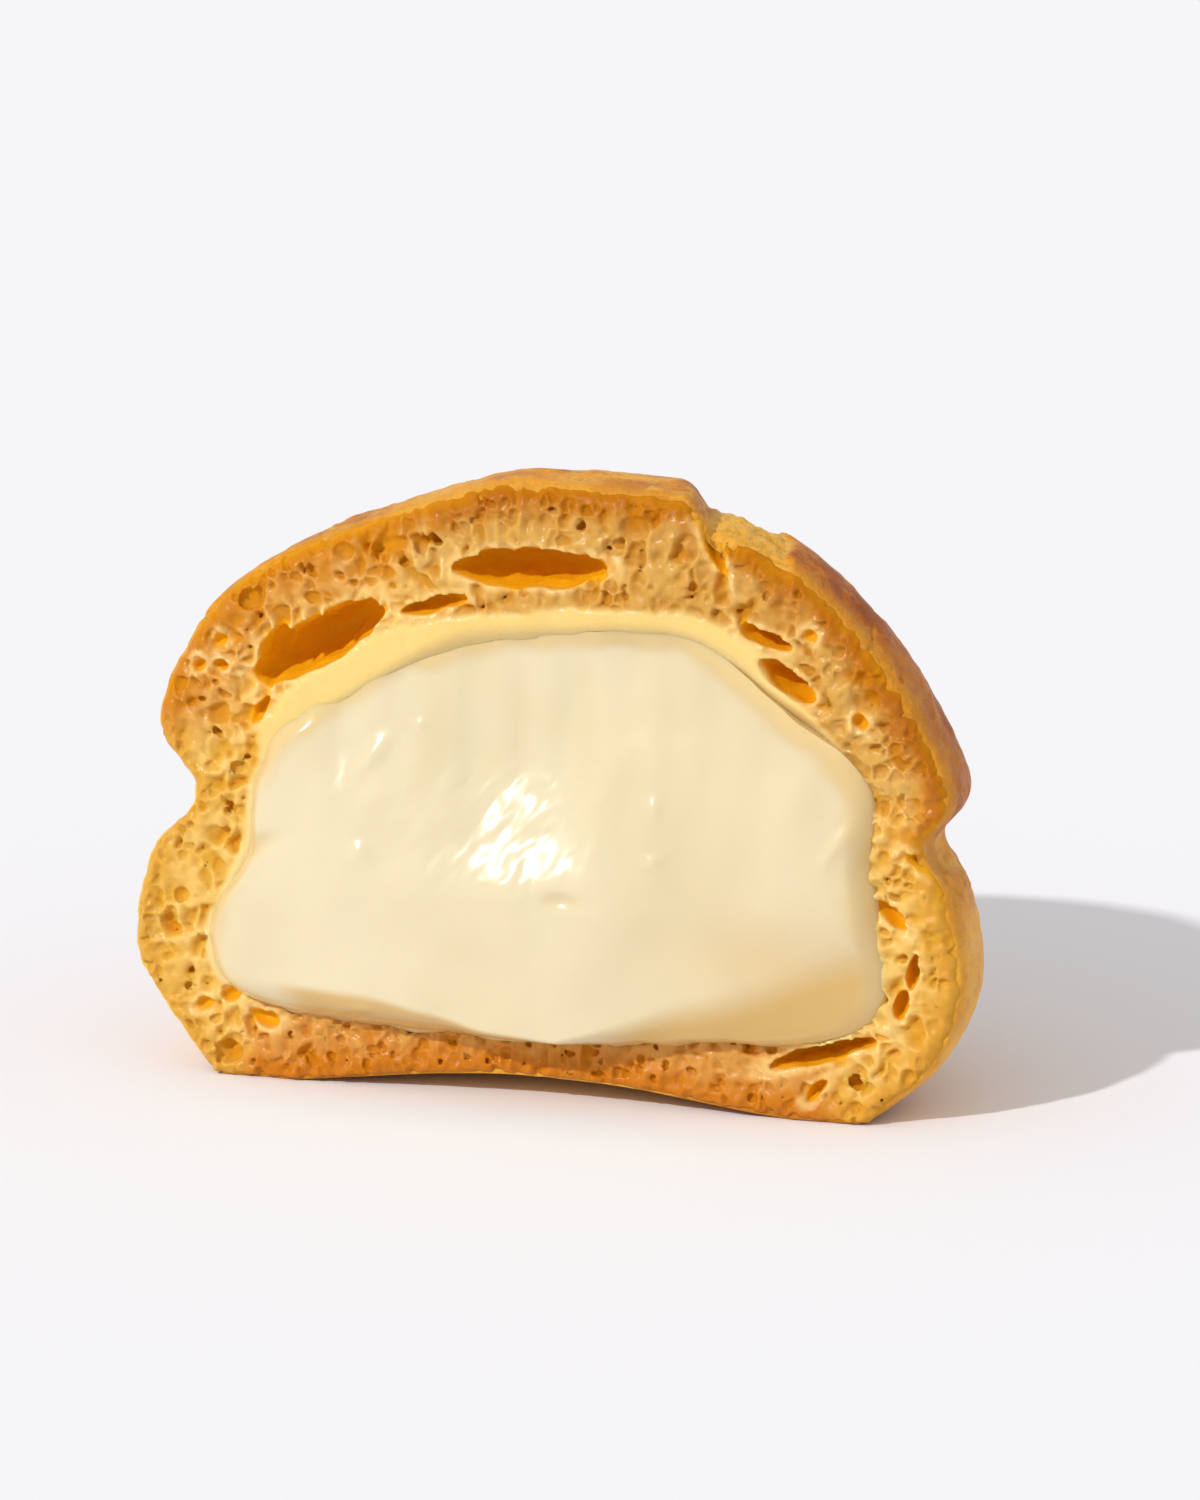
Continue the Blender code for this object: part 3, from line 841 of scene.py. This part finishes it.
# --------------------------------------------------------------------------- custard
BODY_REACH = 3.1
CENTRE_REACH = 1.2
CENTRE_SPREAD = 14.0
BODY_HALF_WIDTH = 34.5
RIDGE_LOW_POINT = (3.6, 7.4)
RIDGE_RISE_RIGHT = 12.8
RIDGE_RISE_LEFT = 3.3
BODY_TOP = 21.0
STEEP_SLOPE_TOP = 31.0
GENTLE_SLOPE_TOP = 39.0
SLOPE_RECESS = -0.5
ROOF_RECESS = -1.8
CREAM_FILLET = 0.5
CREAM_TUCK = 1.1
CREAM_OVERLAP = 0.65
SMALL_SHAPES = {
    "dent_under_slope": ((4.0, 20.8), 2.0, 0.8, 0.0, -0.45),
    "dent_left_shelf": ((-28.2, 22.9), 3.4, 0.8, 24.0, -0.8),
    "dent_left_corner": ((-30.6, 15.8), 1.2, 2.6, 0.0, -0.4),
    "ridge_upper_left": ((-15.6, 32.6), 2.6, 0.9, 50.0, 0.42),
    "bead_left": ((-16.0, 24.0), 0.9, 0.8, 0.0, 0.30),
    "bead_upper_left": ((-11.0, 35.8), 0.7, 0.5, 0.0, 0.16),
    "bead_right_high": ((12.4, 29.6), 0.7, 1.0, 0.0, 0.26),
    "bead_right_low": ((12.6, 24.8), 0.9, 0.7, 0.0, 0.26),
    "ridge_far_right": ((30.0, 27.4), 2.2, 0.7, 55.0, 0.35),
    "bead_floor_left": ((-16.0, 8.6), 1.3, 0.5, 0.0, 0.2),
}


def cream_relief(x, z):
    """How far the custard's face stands in front of the cut."""
    below = ridge_share(x, z)
    bulge = BODY_REACH + CENTRE_REACH * np.exp(-((x + 2.0) / CENTRE_SPREAD) ** 2)
    side = np.sqrt(np.clip(1.0 - np.abs(x / BODY_HALF_WIDTH) ** 4.0, 0.0, 1.0))
    lobe = bulge * (0.12 + 0.88 * np.sin(below * math.pi / 2.0) ** 0.85)
    slope_top = GENTLE_SLOPE_TOP - (GENTLE_SLOPE_TOP - STEEP_SLOPE_TOP) * np.exp(-((x + 2.0) / 9.0) ** 2)
    falling = bulge + 0.1 - (bulge - SLOPE_RECESS) / (slope_top - BODY_TOP) * (z - BODY_TOP)
    roof = np.clip((z - STEEP_SLOPE_TOP) / (FILLING_ROOF - STEEP_SLOPE_TOP), -1.0, 1.0)
    recess = SLOPE_RECESS + (ROOF_RECESS - SLOPE_RECESS) * roof
    upper = smooth_greater(falling, recess, 1.2)
    body = -smooth_greater(-lobe, -upper, 0.5)
    points = np.stack([x.ravel(), np.zeros(x.size), z.ravel()], axis=1)
    slow = layered_noise(points, 12.0, 501, 2).reshape(x.shape)
    upright = noise(points * np.array([1.0, 0.0, 0.22]), 4.2, 511).reshape(x.shape)
    turned = np.stack([points[:, 0] * 0.8 - points[:, 2] * 0.6, points[:, 1],
                       (points[:, 0] * 0.6 + points[:, 2] * 0.8) * 0.45], axis=1)
    strokes = layered_noise(turned, 1.5, 521, 2, 0.5).reshape(x.shape)
    sloped = window(z, 22.0, 31.0, 2.5) * np.exp(-((x + 2.0) / 9.0) ** 2)
    waves = 0.75 * slow + 0.36 * upright * (0.25 + 0.75 * smooth_step((z - 20.0) / 8.0))
    waves = waves + 0.15 * strokes * (0.12 + sloped)
    return body * (0.1 + 0.9 * side) + waves + small_shapes(x, z)


def small_shapes(x, z):
    """Height of the small dents, ridges and beads in the custard's face."""
    total = 0.0
    for (middle_x, middle_z), half_length, half_height, slope, height in SMALL_SHAPES.values():
        tilt = math.radians(slope)
        along = (x - middle_x) * math.cos(tilt) + (z - middle_z) * math.sin(tilt)
        across = (z - middle_z) * math.cos(tilt) - (x - middle_x) * math.sin(tilt)
        total = total + height * np.exp(-(along / half_length) ** 2 - (across / half_height) ** 2)
    return total


def ridge_share(x, z):
    """How far up from the floor to the swelling's lower ridge a place is, from 0 to 1."""
    low_x, low_z = RIDGE_LOW_POINT
    wander = 0.6 * noise(np.stack([x.ravel(), np.zeros(x.size), np.zeros(x.size)], axis=1), 9.0, 531)
    low_z = low_z + wander.reshape(x.shape) * smooth_step((np.abs(x - low_x) - 3.0) / 6.0)
    ridge = (low_z + RIDGE_RISE_RIGHT * np.clip((x - low_x) / 30.0, 0.0, 1.1) ** 1.1
             + RIDGE_RISE_LEFT * smooth_step((low_x - x) / 24.0))
    floor = FILLING_FLOOR + 0.2 + 2.0 * (x / 30.0) ** 4
    return np.clip((z - floor) / np.maximum(ridge - floor, 0.6), 0.0, 1.0)


def smooth_greater(first, second, soft):
    """The greater of two values with the change between them rounded off."""
    blend = np.clip(0.5 + 0.5 * (first - second) / soft, 0.0, 1.0)
    return second + (first - second) * blend + soft * blend * (1.0 - blend)


def build_cream():
    """Custard: a wavy, swelling face in front and the cavity's form behind."""
    reach, turn = round_grid(CREAM_CELLS)
    outline = cream_outline(turn)
    outline = outline + 1.2 * window(np.degrees(turn) % 360.0, 128.0, 158.0, 8.0)
    x = outline * reach * np.cos(turn)
    z = CENTRE_HEIGHT + outline * reach * np.sin(turn)
    edge = np.clip((reach - 0.93) / 0.07, 0.0, 1.0)
    top = smooth_step((z - 30.0) / 9.0)
    relief = cream_relief(x, z)
    clear_lip = 1.0 - window(np.degrees(turn) % 360.0, 116.0, 162.0, 8.0)
    fillet = CREAM_FILLET * top * clear_lip * np.clip(1.0 - (1.0 - reach) * outline / 2.6, 0.0, 1.0) ** 2
    y = -CUT_SETBACK - relief - fillet + np.maximum(relief, 0.0) * edge ** 2
    y = y + CREAM_TUCK * edge ** 2 * (1.0 - top)
    front = np.stack([x, y, z], axis=-1)
    inside = reach
    reach, turn = round_grid(CREAM_CELLS // CREAM_BACK_SHARE)
    angle = reach * (math.pi / 2.0 + 0.05)
    azimuth, elevation = direction_angles(angle, turn)
    radius = filling_radius(azimuth, elevation) - 0.4
    back = np.stack([radius * np.sin(angle) * np.cos(turn), radius * np.cos(angle),
                     radius * np.sin(angle) * np.sin(turn) + CENTRE_HEIGHT], axis=-1)
    points, faces = closed_pair(back_to_front(front), back_to_front(back), CREAM_BACK_SHARE)
    item = make_piece("custard", points, faces)
    front_x, front_z = points[:x.size, 0], points[:x.size, 2]
    flat = np.stack([front_x, np.zeros(len(front_x)), front_z], axis=1)
    from_wall = (1.0 - back_to_front_values(inside)) * 30.0
    uneven = layered_noise(flat, 5.0, 541, 2)
    # Painted shade: the custard's colour is darkened to tan in a band under the lining at the roof, on the lower
    # facets below the swelling's ridge, in the dents, in the hollow at the lower right, on the right side and in
    # streaks near the roof.
    roof = smooth_step((front_z - 27.0) / 8.0)
    shaded = smooth_step(1.15 - from_wall / (3.0 + 1.6 * uneven)) * (0.35 + 0.45 * roof)
    steep = 1.6 + 1.8 * smooth_step((RIDGE_LOW_POINT[0] - front_x) / 4.0)
    facet = smooth_step((1.0 - ridge_share(front_x, front_z)) * steep)
    low_x = RIDGE_LOW_POINT[0]
    facet = facet * np.maximum(smooth_step((front_x - low_x - 1.5) / 7.0),
                               window(front_x, -21.0, low_x - 4.0, 5.0))
    dent = np.clip(-small_shapes(front_x, front_z) / 0.6, 0.0, 1.0)
    hollow = np.exp(-((front_x - 24.0) / 8.0) ** 2 - ((front_z - 16.0) / 4.0) ** 2)
    right = smooth_step((front_x - 2.0) / 14.0)
    streaks = np.clip(noise(flat * np.array([1.0, 0.0, 0.3]), 3.6, 543), 0.0, 1.0) * roof
    painted_shade = np.maximum(shaded, 0.9 * facet) + 0.35 * dent + 0.35 * hollow + 0.10 * right + 0.14 * streaks
    painted_shade = np.clip(painted_shade, 0.0, 1.0)
    smear = smooth_step(1.3 - from_wall / (1.9 + 1.1 * uneven))
    back = np.zeros(len(points) - len(painted_shade))
    set_attribute(item, "painted_shade", np.concatenate([painted_shade, back]))
    set_attribute(item, "smear", np.concatenate([smear, back]))
    item.data.set_sharp_from_angle(angle=math.radians(55.0))
    return item


def back_to_front_values(grid):
    """Values of a grid in the order that back_to_front gives its points."""
    return grid.T.ravel()


def back_to_front(grid):
    """The same grid with its sides swapped, so that it faces the other way."""
    return grid.transpose(1, 0, 2)


def cream_outline(turn):
    """Radius of the custard's outline at the cut, just under the lining."""
    radius = np.full(turn.shape, 30.0)
    for _ in range(10):
        azimuth = np.arctan2(-CUT_SETBACK, radius * np.cos(turn))
        flat = np.hypot(radius * np.cos(turn), CUT_SETBACK)
        elevation = np.arctan2(radius * np.sin(turn), flat)
        full = filling_radius(azimuth, elevation)
        radius = np.sqrt(np.maximum(full ** 2 - CUT_SETBACK ** 2, 1.0))
    rim = np.stack([30.0 * np.cos(turn), np.zeros(turn.shape), 30.0 * np.sin(turn)], axis=-1)
    return radius + CREAM_OVERLAP + 0.5 * layered_noise(rim.reshape(-1, 3), 5.0, 551, 2).reshape(turn.shape)


# --------------------------------------------------------------------------- materials
def new_material(name):
    """Material with a Principled shader, its nodes and its links."""
    material = bpy.data.materials.new(name)
    material.use_nodes = True
    nodes = material.node_tree.nodes
    return material, nodes, material.node_tree.links, nodes["Principled BSDF"]


def attribute(nodes, name):
    """A number stored on the mesh."""
    node = nodes.new("ShaderNodeAttribute")
    node.attribute_name = name
    return node.outputs["Fac"]


def ramp(nodes, links, value, stops):
    """Colours along a value."""
    node = nodes.new("ShaderNodeValToRGB")
    elements = node.color_ramp.elements
    while len(elements) < len(stops):
        elements.new(0.5)
    for element, (position, colour) in zip(elements, stops):
        element.position = position
        element.color = (*colour, 1.0)
    links.new(value, node.inputs["Fac"])
    return node.outputs["Color"]


def mixed(nodes, links, share, first, second, kind="MIX"):
    """Two colours blended by a share."""
    node = nodes.new("ShaderNodeMix")
    node.data_type = "RGBA"
    node.blend_type = kind
    for socket, value in ((node.inputs[0], share), (node.inputs[6], first), (node.inputs[7], second)):
        if isinstance(value, tuple):
            socket.default_value = (*value, 1.0)
        elif isinstance(value, float):
            socket.default_value = value
        else:
            links.new(value, socket)
    return node.outputs[2]


def computed(nodes, links, operation, first, second=None, clamp=False):
    """One step of arithmetic on values."""
    node = nodes.new("ShaderNodeMath")
    node.operation = operation
    node.use_clamp = clamp
    for socket, value in zip(node.inputs, (first, second)):
        if value is None:
            continue
        if isinstance(value, float):
            socket.default_value = value
        else:
            links.new(value, socket)
    return node.outputs[0]


def ranged(nodes, links, value, low, high, to_low=0.0, to_high=1.0):
    """A value taken from one range to another."""
    node = nodes.new("ShaderNodeMapRange")
    node.interpolation_type = "SMOOTHSTEP"
    links.new(value, node.inputs["Value"])
    for name, number in (("From Min", low), ("From Max", high), ("To Min", to_low), ("To Max", to_high)):
        node.inputs[name].default_value = number
    return node.outputs["Result"]


def noise_node(nodes, links, size_mm, detail=4.0, rough=0.55, stretch=None, kind="noise"):
    """Noise in object space with features of a size in millimetres."""
    place = nodes.new("ShaderNodeTexCoord").outputs["Object"]
    if stretch is not None:
        mapping = nodes.new("ShaderNodeMapping")
        mapping.inputs["Scale"].default_value = stretch
        links.new(place, mapping.inputs["Vector"])
        place = mapping.outputs["Vector"]
    node = nodes.new("ShaderNodeTexNoise" if kind == "noise" else "ShaderNodeTexVoronoi")
    node.inputs["Scale"].default_value = 1.0 / (size_mm * MM)
    if kind == "noise":
        node.inputs["Detail"].default_value = detail
        node.inputs["Roughness"].default_value = rough
        links.new(place, node.inputs["Vector"])
        return node.outputs["Fac"]
    links.new(place, node.inputs["Vector"])
    return node.outputs["Distance"]


def bump(nodes, links, shader, height, strength, distance_mm):
    """Fine relief in the shading."""
    node = nodes.new("ShaderNodeBump")
    node.inputs["Strength"].default_value = strength
    node.inputs["Distance"].default_value = distance_mm * MM
    links.new(height, node.inputs["Height"])
    links.new(node.outputs["Normal"], shader.inputs["Normal"])


CRUST_DEEP = (0.40, 0.115, 0.008)
CRUST_BROWN = (0.60, 0.205, 0.014)
CRUST_GOLD = (0.75, 0.320, 0.032)
CRUST_PALE = (0.84, 0.450, 0.075)
CRUST_FOOT = (0.93, 0.48, 0.075)
CRUST_TORN = (0.88, 0.50, 0.085)
CRUST_TORN_DEEP = (0.60, 0.26, 0.012)
CRUMB_SKIN = (0.71, 0.315, 0.030)


def crust_material():
    """Egg-washed choux skin: golden, with darker brown patches and pale stretched places, and painted shade on its
    upper right side.
    """
    material, nodes, links, shader = new_material("baked_crust")
    patches = noise_node(nodes, links, 8.0, 5.0, 0.6)
    colour = ramp(nodes, links, patches, [(0.32, CRUST_DEEP), (0.44, CRUST_BROWN),
                                          (0.56, CRUST_GOLD), (0.70, CRUST_PALE)])
    network = noise_node(nodes, links, 9.0, 4.0, 0.6, (1.0, 1.0, 1.25))
    network = computed(nodes, links, "ABSOLUTE", computed(nodes, links, "SUBTRACT", network, 0.5))
    network = ranged(nodes, links, network, 0.045, 0.0, 0.0, 0.55)
    colour = mixed(nodes, links, network, colour, CRUST_PALE)
    mottle = noise_node(nodes, links, 1.7, 6.0, 0.65)
    speckle = ramp(nodes, links, mottle, [(0.30, (0.60, 0.50, 0.40)), (0.52, (1.0, 1.0, 1.0)),
                                          (0.72, (1.12, 1.16, 1.25))])
    colour = mixed(nodes, links, 0.8, colour, speckle, "MULTIPLY")
    foot = computed(nodes, links, "MULTIPLY", attribute(nodes, "foot"),
                    ranged(nodes, links, mottle, 0.32, 0.62, 0.48, 0.75))
    colour = mixed(nodes, links, foot, colour, CRUST_FOOT)
    # Painted shade: the upper right side, away from the key light, is multiplied to a darker, deeper brown.
    colour = mixed(nodes, links, attribute(nodes, "right_side_shade"), colour, (0.74, 0.53, 0.28), "MULTIPLY")
    torn = computed(nodes, links, "MULTIPLY", attribute(nodes, "torn"), 0.8, True)
    colour = mixed(nodes, links, torn, colour, CRUST_TORN)
    deep = computed(nodes, links, "MULTIPLY", attribute(nodes, "torn_deep"), 0.7, True)
    colour = mixed(nodes, links, deep, colour, CRUST_TORN_DEEP)
    crack = computed(nodes, links, "MULTIPLY", attribute(nodes, "crack"), 0.3, True)
    colour = mixed(nodes, links, crack, colour, (0.78, 0.42, 0.075))
    pore = computed(nodes, links, "MULTIPLY", attribute(nodes, "pore"), 2.5, True)
    colour = mixed(nodes, links, pore, colour, (0.42, 0.15, 0.016))
    rim = attribute(nodes, "rim")
    pale_rim = computed(nodes, links, "MULTIPLY", rim, attribute(nodes, "pale_side"))
    colour = mixed(nodes, links, computed(nodes, links, "MULTIPLY", rim, 0.6), colour, CRUMB_SKIN)
    colour = mixed(nodes, links, pale_rim, colour, (0.86, 0.52, 0.095))
    base = computed(nodes, links, "MULTIPLY", attribute(nodes, "base"), 0.85, True)
    colour = mixed(nodes, links, base, colour, (0.50, 0.175, 0.010))
    links.new(colour, shader.inputs["Base Color"])
    rough = ranged(nodes, links, mottle, 0.3, 0.7, 0.30, 0.5)
    links.new(rough, shader.inputs["Roughness"])
    shader.inputs["Subsurface Weight"].default_value = 0.2
    shader.inputs["Subsurface Radius"].default_value = (1.0, 0.42, 0.12)
    shader.inputs["Subsurface Scale"].default_value = 0.001
    shader.inputs["Specular IOR Level"].default_value = 0.09
    lines = noise_node(nodes, links, 1.9, 5.0, 0.6, (0.8, 0.8, 1.3))
    lines = computed(nodes, links, "ABSOLUTE", computed(nodes, links, "SUBTRACT", lines, 0.5))
    lines = ranged(nodes, links, lines, 0.0, 0.09)
    fine = noise_node(nodes, links, 0.55, 5.0, 0.6)
    bump(nodes, links, shader, computed(nodes, links, "ADD", lines, fine), 0.4, 0.22)
    return material


CRUMB_EDGE = (0.56, 0.195, 0.008)
CRUMB_GOLD = (0.64, 0.265, 0.014)
CRUMB_WEB = (0.73, 0.39, 0.060)
# Painted highlight colour for the raised web tops.
CRUMB_WEB_HIGHLIGHT = (0.83, 0.55, 0.17)
CRUMB_BLUSH = (0.80, 0.50, 0.17)
CRUMB_GRAIN = (0.62, 0.245, 0.007)
CRUMB_BAKED_CELLS = (0.57, 0.205, 0.004)
# Painted shade and warm bounce light for the crumb's hollows.
CRUMB_HOLLOW_SHADE = (0.70, 0.290, 0.008)
CRUMB_BASE = (0.56, 0.178, 0.002)
CRUMB_FLANK = (0.70, 0.405, 0.052)
CRUMB_FILM = (0.86, 0.61, 0.22)
CRUMB_LINING = (0.85, 0.62, 0.22)
CRUMB_SMEAR = (0.78, 0.59, 0.28)
CRUMB_BAKED_TINT = (0.79, 0.69, 0.49)


def crumb_material():
    """Open choux crumb: deeper brown towards the skin, with pale webs painted as a highlight on their raised tops,
    hollows painted a darker orange as shade and air pockets painted bright orange as bounce light.
    """
    material, nodes, links, shader = new_material("open_crumb")

    def part(name, strength):
        return computed(nodes, links, "MULTIPLY", attribute(nodes, name), strength, True)

    blotch = noise_node(nodes, links, 3.0, 4.0, 0.6)
    shifted = computed(nodes, links, "MULTIPLY", computed(nodes, links, "SUBTRACT", blotch, 0.5), 5.0)
    skin = computed(nodes, links, "ADD", attribute(nodes, "skin"), shifted)
    toward_skin = ranged(nodes, links, skin, 0.0, 6.0)
    colour = ramp(nodes, links, toward_skin, [(0.02, CRUMB_EDGE), (0.25, CRUMB_GOLD),
                                              (0.80, CRUMB_WEB)])
    patches = noise_node(nodes, links, 3.4, 4.0, 0.55)
    colour = mixed(nodes, links, ranged(nodes, links, patches, 0.50, 0.38, 0.0, 0.65), colour, CRUMB_GRAIN)
    grain = computed(nodes, links, "MULTIPLY", part("upper_left", 0.85), ranged(nodes, links, skin, 8.0, 4.0))
    colour = mixed(nodes, links, grain, colour, CRUMB_BAKED_CELLS)
    blush = computed(nodes, links, "MULTIPLY", ranged(nodes, links, patches, 0.50, 0.62, 0.0, 0.7),
                     ranged(nodes, links, skin, 0.8, 3.5))
    blush = computed(nodes, links, "MULTIPLY", blush, ranged(nodes, links, grain, 0.0, 1.0, 1.0, 0.4))
    colour = mixed(nodes, links, blush, colour, CRUMB_BLUSH)
    colour = mixed(nodes, links, part("bottom", 0.87), colour, CRUMB_BASE)
    colour = mixed(nodes, links, part("flank", 0.7), colour, CRUMB_FLANK)
    hollow = attribute(nodes, "hollow")
    # Painted highlight: the raised tops of the webs, which stand proud of the face's level, are made paler, as
    # where light catches them.
    web_highlight = computed(nodes, links, "MULTIPLY", ranged(nodes, links, hollow, 0.40, -0.1, 0.0, 0.7),
                   ranged(nodes, links, skin, 1.2, 4.5))
    web_highlight = computed(nodes, links, "MULTIPLY", web_highlight, ranged(nodes, links, attribute(nodes, "bottom"), 0.0,
                                                         1.0, 1.0, 0.45))
    web_highlight = computed(nodes, links, "MULTIPLY", web_highlight, ranged(nodes, links, grain, 0.0, 1.0, 1.0, 0.5))
    colour = mixed(nodes, links, web_highlight, colour, CRUMB_WEB_HIGHLIGHT)
    # Painted shade: the crumb turns a deeper, darker orange the further a place lies below the torn face, standing
    # in for the shade and warm bounced light in its hollows.
    colour = mixed(nodes, links, ranged(nodes, links, hollow, 0.25, 1.3, 0.0, 0.9), colour, CRUMB_HOLLOW_SHADE)
    colour = mixed(nodes, links, attribute(nodes, "baked"), colour, CRUMB_BAKED_TINT, "MULTIPLY")
    film = computed(nodes, links, "MULTIPLY", part("film", 0.65),
                    ranged(nodes, links, attribute(nodes, "depth"), 1.6, 0.6))
    colour = mixed(nodes, links, film, colour, CRUMB_FILM)
    colour = mixed(nodes, links, part("lined", 0.9), colour, CRUMB_LINING)
    smear = ranged(nodes, links, attribute(nodes, "wall"), 1.6, 0.1, 0.0, 0.85)
    colour = mixed(nodes, links, computed(nodes, links, "MULTIPLY", smear, attribute(nodes, "lined")),
                   colour, CRUMB_SMEAR)
    # Painted bounce light: deep inside the air pockets the crumb turns a bright, saturated orange, standing in for
    # the warm light scattered round inside them.
    pocket = computed(nodes, links, "MULTIPLY", attribute(nodes, "pocket"),
                      ranged(nodes, links, attribute(nodes, "depth"), 0.4, 1.6), True)
    colour = mixed(nodes, links, pocket, colour, (0.84, 0.39, 0.006))
    links.new(colour, shader.inputs["Base Color"])
    gloss = ranged(nodes, links, hollow, 0.1, 0.6, 0.22, 0.04)
    gloss = computed(nodes, links, "ADD", gloss, computed(nodes, links, "MULTIPLY", film, 0.25))
    links.new(gloss, shader.inputs["Specular IOR Level"])
    wet = ranged(nodes, links, patches, 0.46, 0.58, 0.36, 0.17)
    links.new(wet, shader.inputs["Roughness"])
    shader.inputs["Subsurface Weight"].default_value = 0.5
    shader.inputs["Subsurface Radius"].default_value = (1.0, 0.5, 0.18)
    shader.inputs["Subsurface Scale"].default_value = 0.001
    fine = noise_node(nodes, links, 0.5, 4.0, 0.6)
    bump(nodes, links, shader, fine, 0.35, 0.2)
    return material


def cream_material():
    """Smooth thick custard with a wet gloss, and painted shade in its colour where it lies in shade."""
    material, nodes, links, shader = new_material("custard")
    clouds = noise_node(nodes, links, 14.0, 3.0, 0.5)
    colour = ramp(nodes, links, clouds, [(0.3, (0.71, 0.605, 0.385)), (0.7, (0.75, 0.65, 0.435))])
    # Painted shade: the custard is tinted a darker tan where it lies in shade under the lining, on its lower
    # facets, in dents and on its right side.
    painted_shade = attribute(nodes, "painted_shade")
    colour = mixed(nodes, links, painted_shade, colour, (0.64, 0.42, 0.145))
    smear = computed(nodes, links, "MULTIPLY", attribute(nodes, "smear"), 0.75, True)
    colour = mixed(nodes, links, smear, colour, CRUMB_SMEAR)
    links.new(colour, shader.inputs["Base Color"])
    gloss = noise_node(nodes, links, 4.0, 2.0, 0.5)
    links.new(ranged(nodes, links, gloss, 0.35, 0.65, 0.17, 0.24), shader.inputs["Roughness"])
    shader.inputs["Subsurface Weight"].default_value = 0.4
    shader.inputs["Subsurface Radius"].default_value = (1.0, 0.75, 0.4)
    shader.inputs["Subsurface Scale"].default_value = 0.0018
    shader.inputs["Specular IOR Level"].default_value = 0.5
    return material


# --------------------------------------------------------------------------- stage
CAMERA_AZIMUTH = 17.0
CAMERA_ELEVATION = 13.0
CAMERA_DISTANCE = 0.781
LENS = 196.0
FLOOR_COLOUR = (0.885, 0.878, 0.905)
KEY_STRENGTH = 2.06
FILL_STRENGTH = 0.655


def aimed(item, direction):
    """Turn a lamp or camera to look along a direction."""
    item.rotation_euler = Vector(direction).to_track_quat("-Z", "Y").to_euler()


def build_camera(target):
    """Long lens from the front right, looking slightly down."""
    azimuth, elevation = math.radians(CAMERA_AZIMUTH), math.radians(CAMERA_ELEVATION)
    away = Vector((-math.sin(azimuth) * math.cos(elevation), math.cos(azimuth) * math.cos(elevation),
                   -math.sin(elevation)))
    data = bpy.data.cameras.new("camera")
    data.lens = LENS
    data.sensor_fit = "VERTICAL"
    data.sensor_height = 36.0
    camera = bpy.data.objects.new("camera", data)
    bpy.context.scene.collection.objects.link(camera)
    camera.location = Vector(target) - away * CAMERA_DISTANCE
    aimed(camera, away)
    bpy.context.scene.camera = camera


def build_light():
    """Hard-edged key from the front left, and an even soft fill from all round."""
    azimuth = math.radians(CAMERA_AZIMUTH)
    right = Vector((math.cos(azimuth), math.sin(azimuth), 0.0))
    away = Vector((-math.sin(azimuth), math.cos(azimuth), 0.0))
    data = bpy.data.lights.new("key", "SUN")
    data.energy = KEY_STRENGTH
    data.angle = math.radians(2.0)
    key = bpy.data.objects.new("key", data)
    bpy.context.scene.collection.objects.link(key)
    aimed(key, right * 0.548 + away * 0.589 + Vector((0.0, 0.0, -0.594)))
    world = bpy.data.worlds.new("studio")
    world.use_nodes = True
    background = world.node_tree.nodes["Background"]
    background.inputs["Color"].default_value = (1.0, 1.0, 1.0, 1.0)
    background.inputs["Strength"].default_value = FILL_STRENGTH
    bpy.context.scene.world = world
    bpy.context.scene.view_settings.view_transform = "Standard"


def build_floor():
    """Pale seamless floor."""
    size = 12.0
    mesh = bpy.data.meshes.new("floor")
    corners = [(-size, -size, 0.0), (size, -size, 0.0), (size, size, 0.0), (-size, size, 0.0)]
    mesh.from_pydata(corners, [], [(0, 1, 2, 3)])
    floor = bpy.data.objects.new("floor", mesh)
    bpy.context.scene.collection.objects.link(floor)
    material, _, _, shader = new_material("studio_floor")
    shader.inputs["Base Color"].default_value = (*FLOOR_COLOUR, 1.0)
    shader.inputs["Roughness"].default_value = 0.9
    shader.inputs["Specular IOR Level"].default_value = 0.0
    mesh.materials.append(material)


# --------------------------------------------------------------------------- scene
def dressed(item, material, node):
    """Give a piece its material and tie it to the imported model."""
    item.data.materials.clear()
    item.data.materials.append(material)
    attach(item, "root")
    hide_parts(node)


def main():
    dressed(build_crust(), crust_material(), "choux_shell")
    dressed(build_crumb(), crumb_material(), "choux_shell")
    dressed(build_cream(), cream_material(), "cream_filling")
    build_floor()
    build_light()
    low, high = (Vector(corner) for corner in cad_box)
    build_camera((low + high) / 2.0)


main()
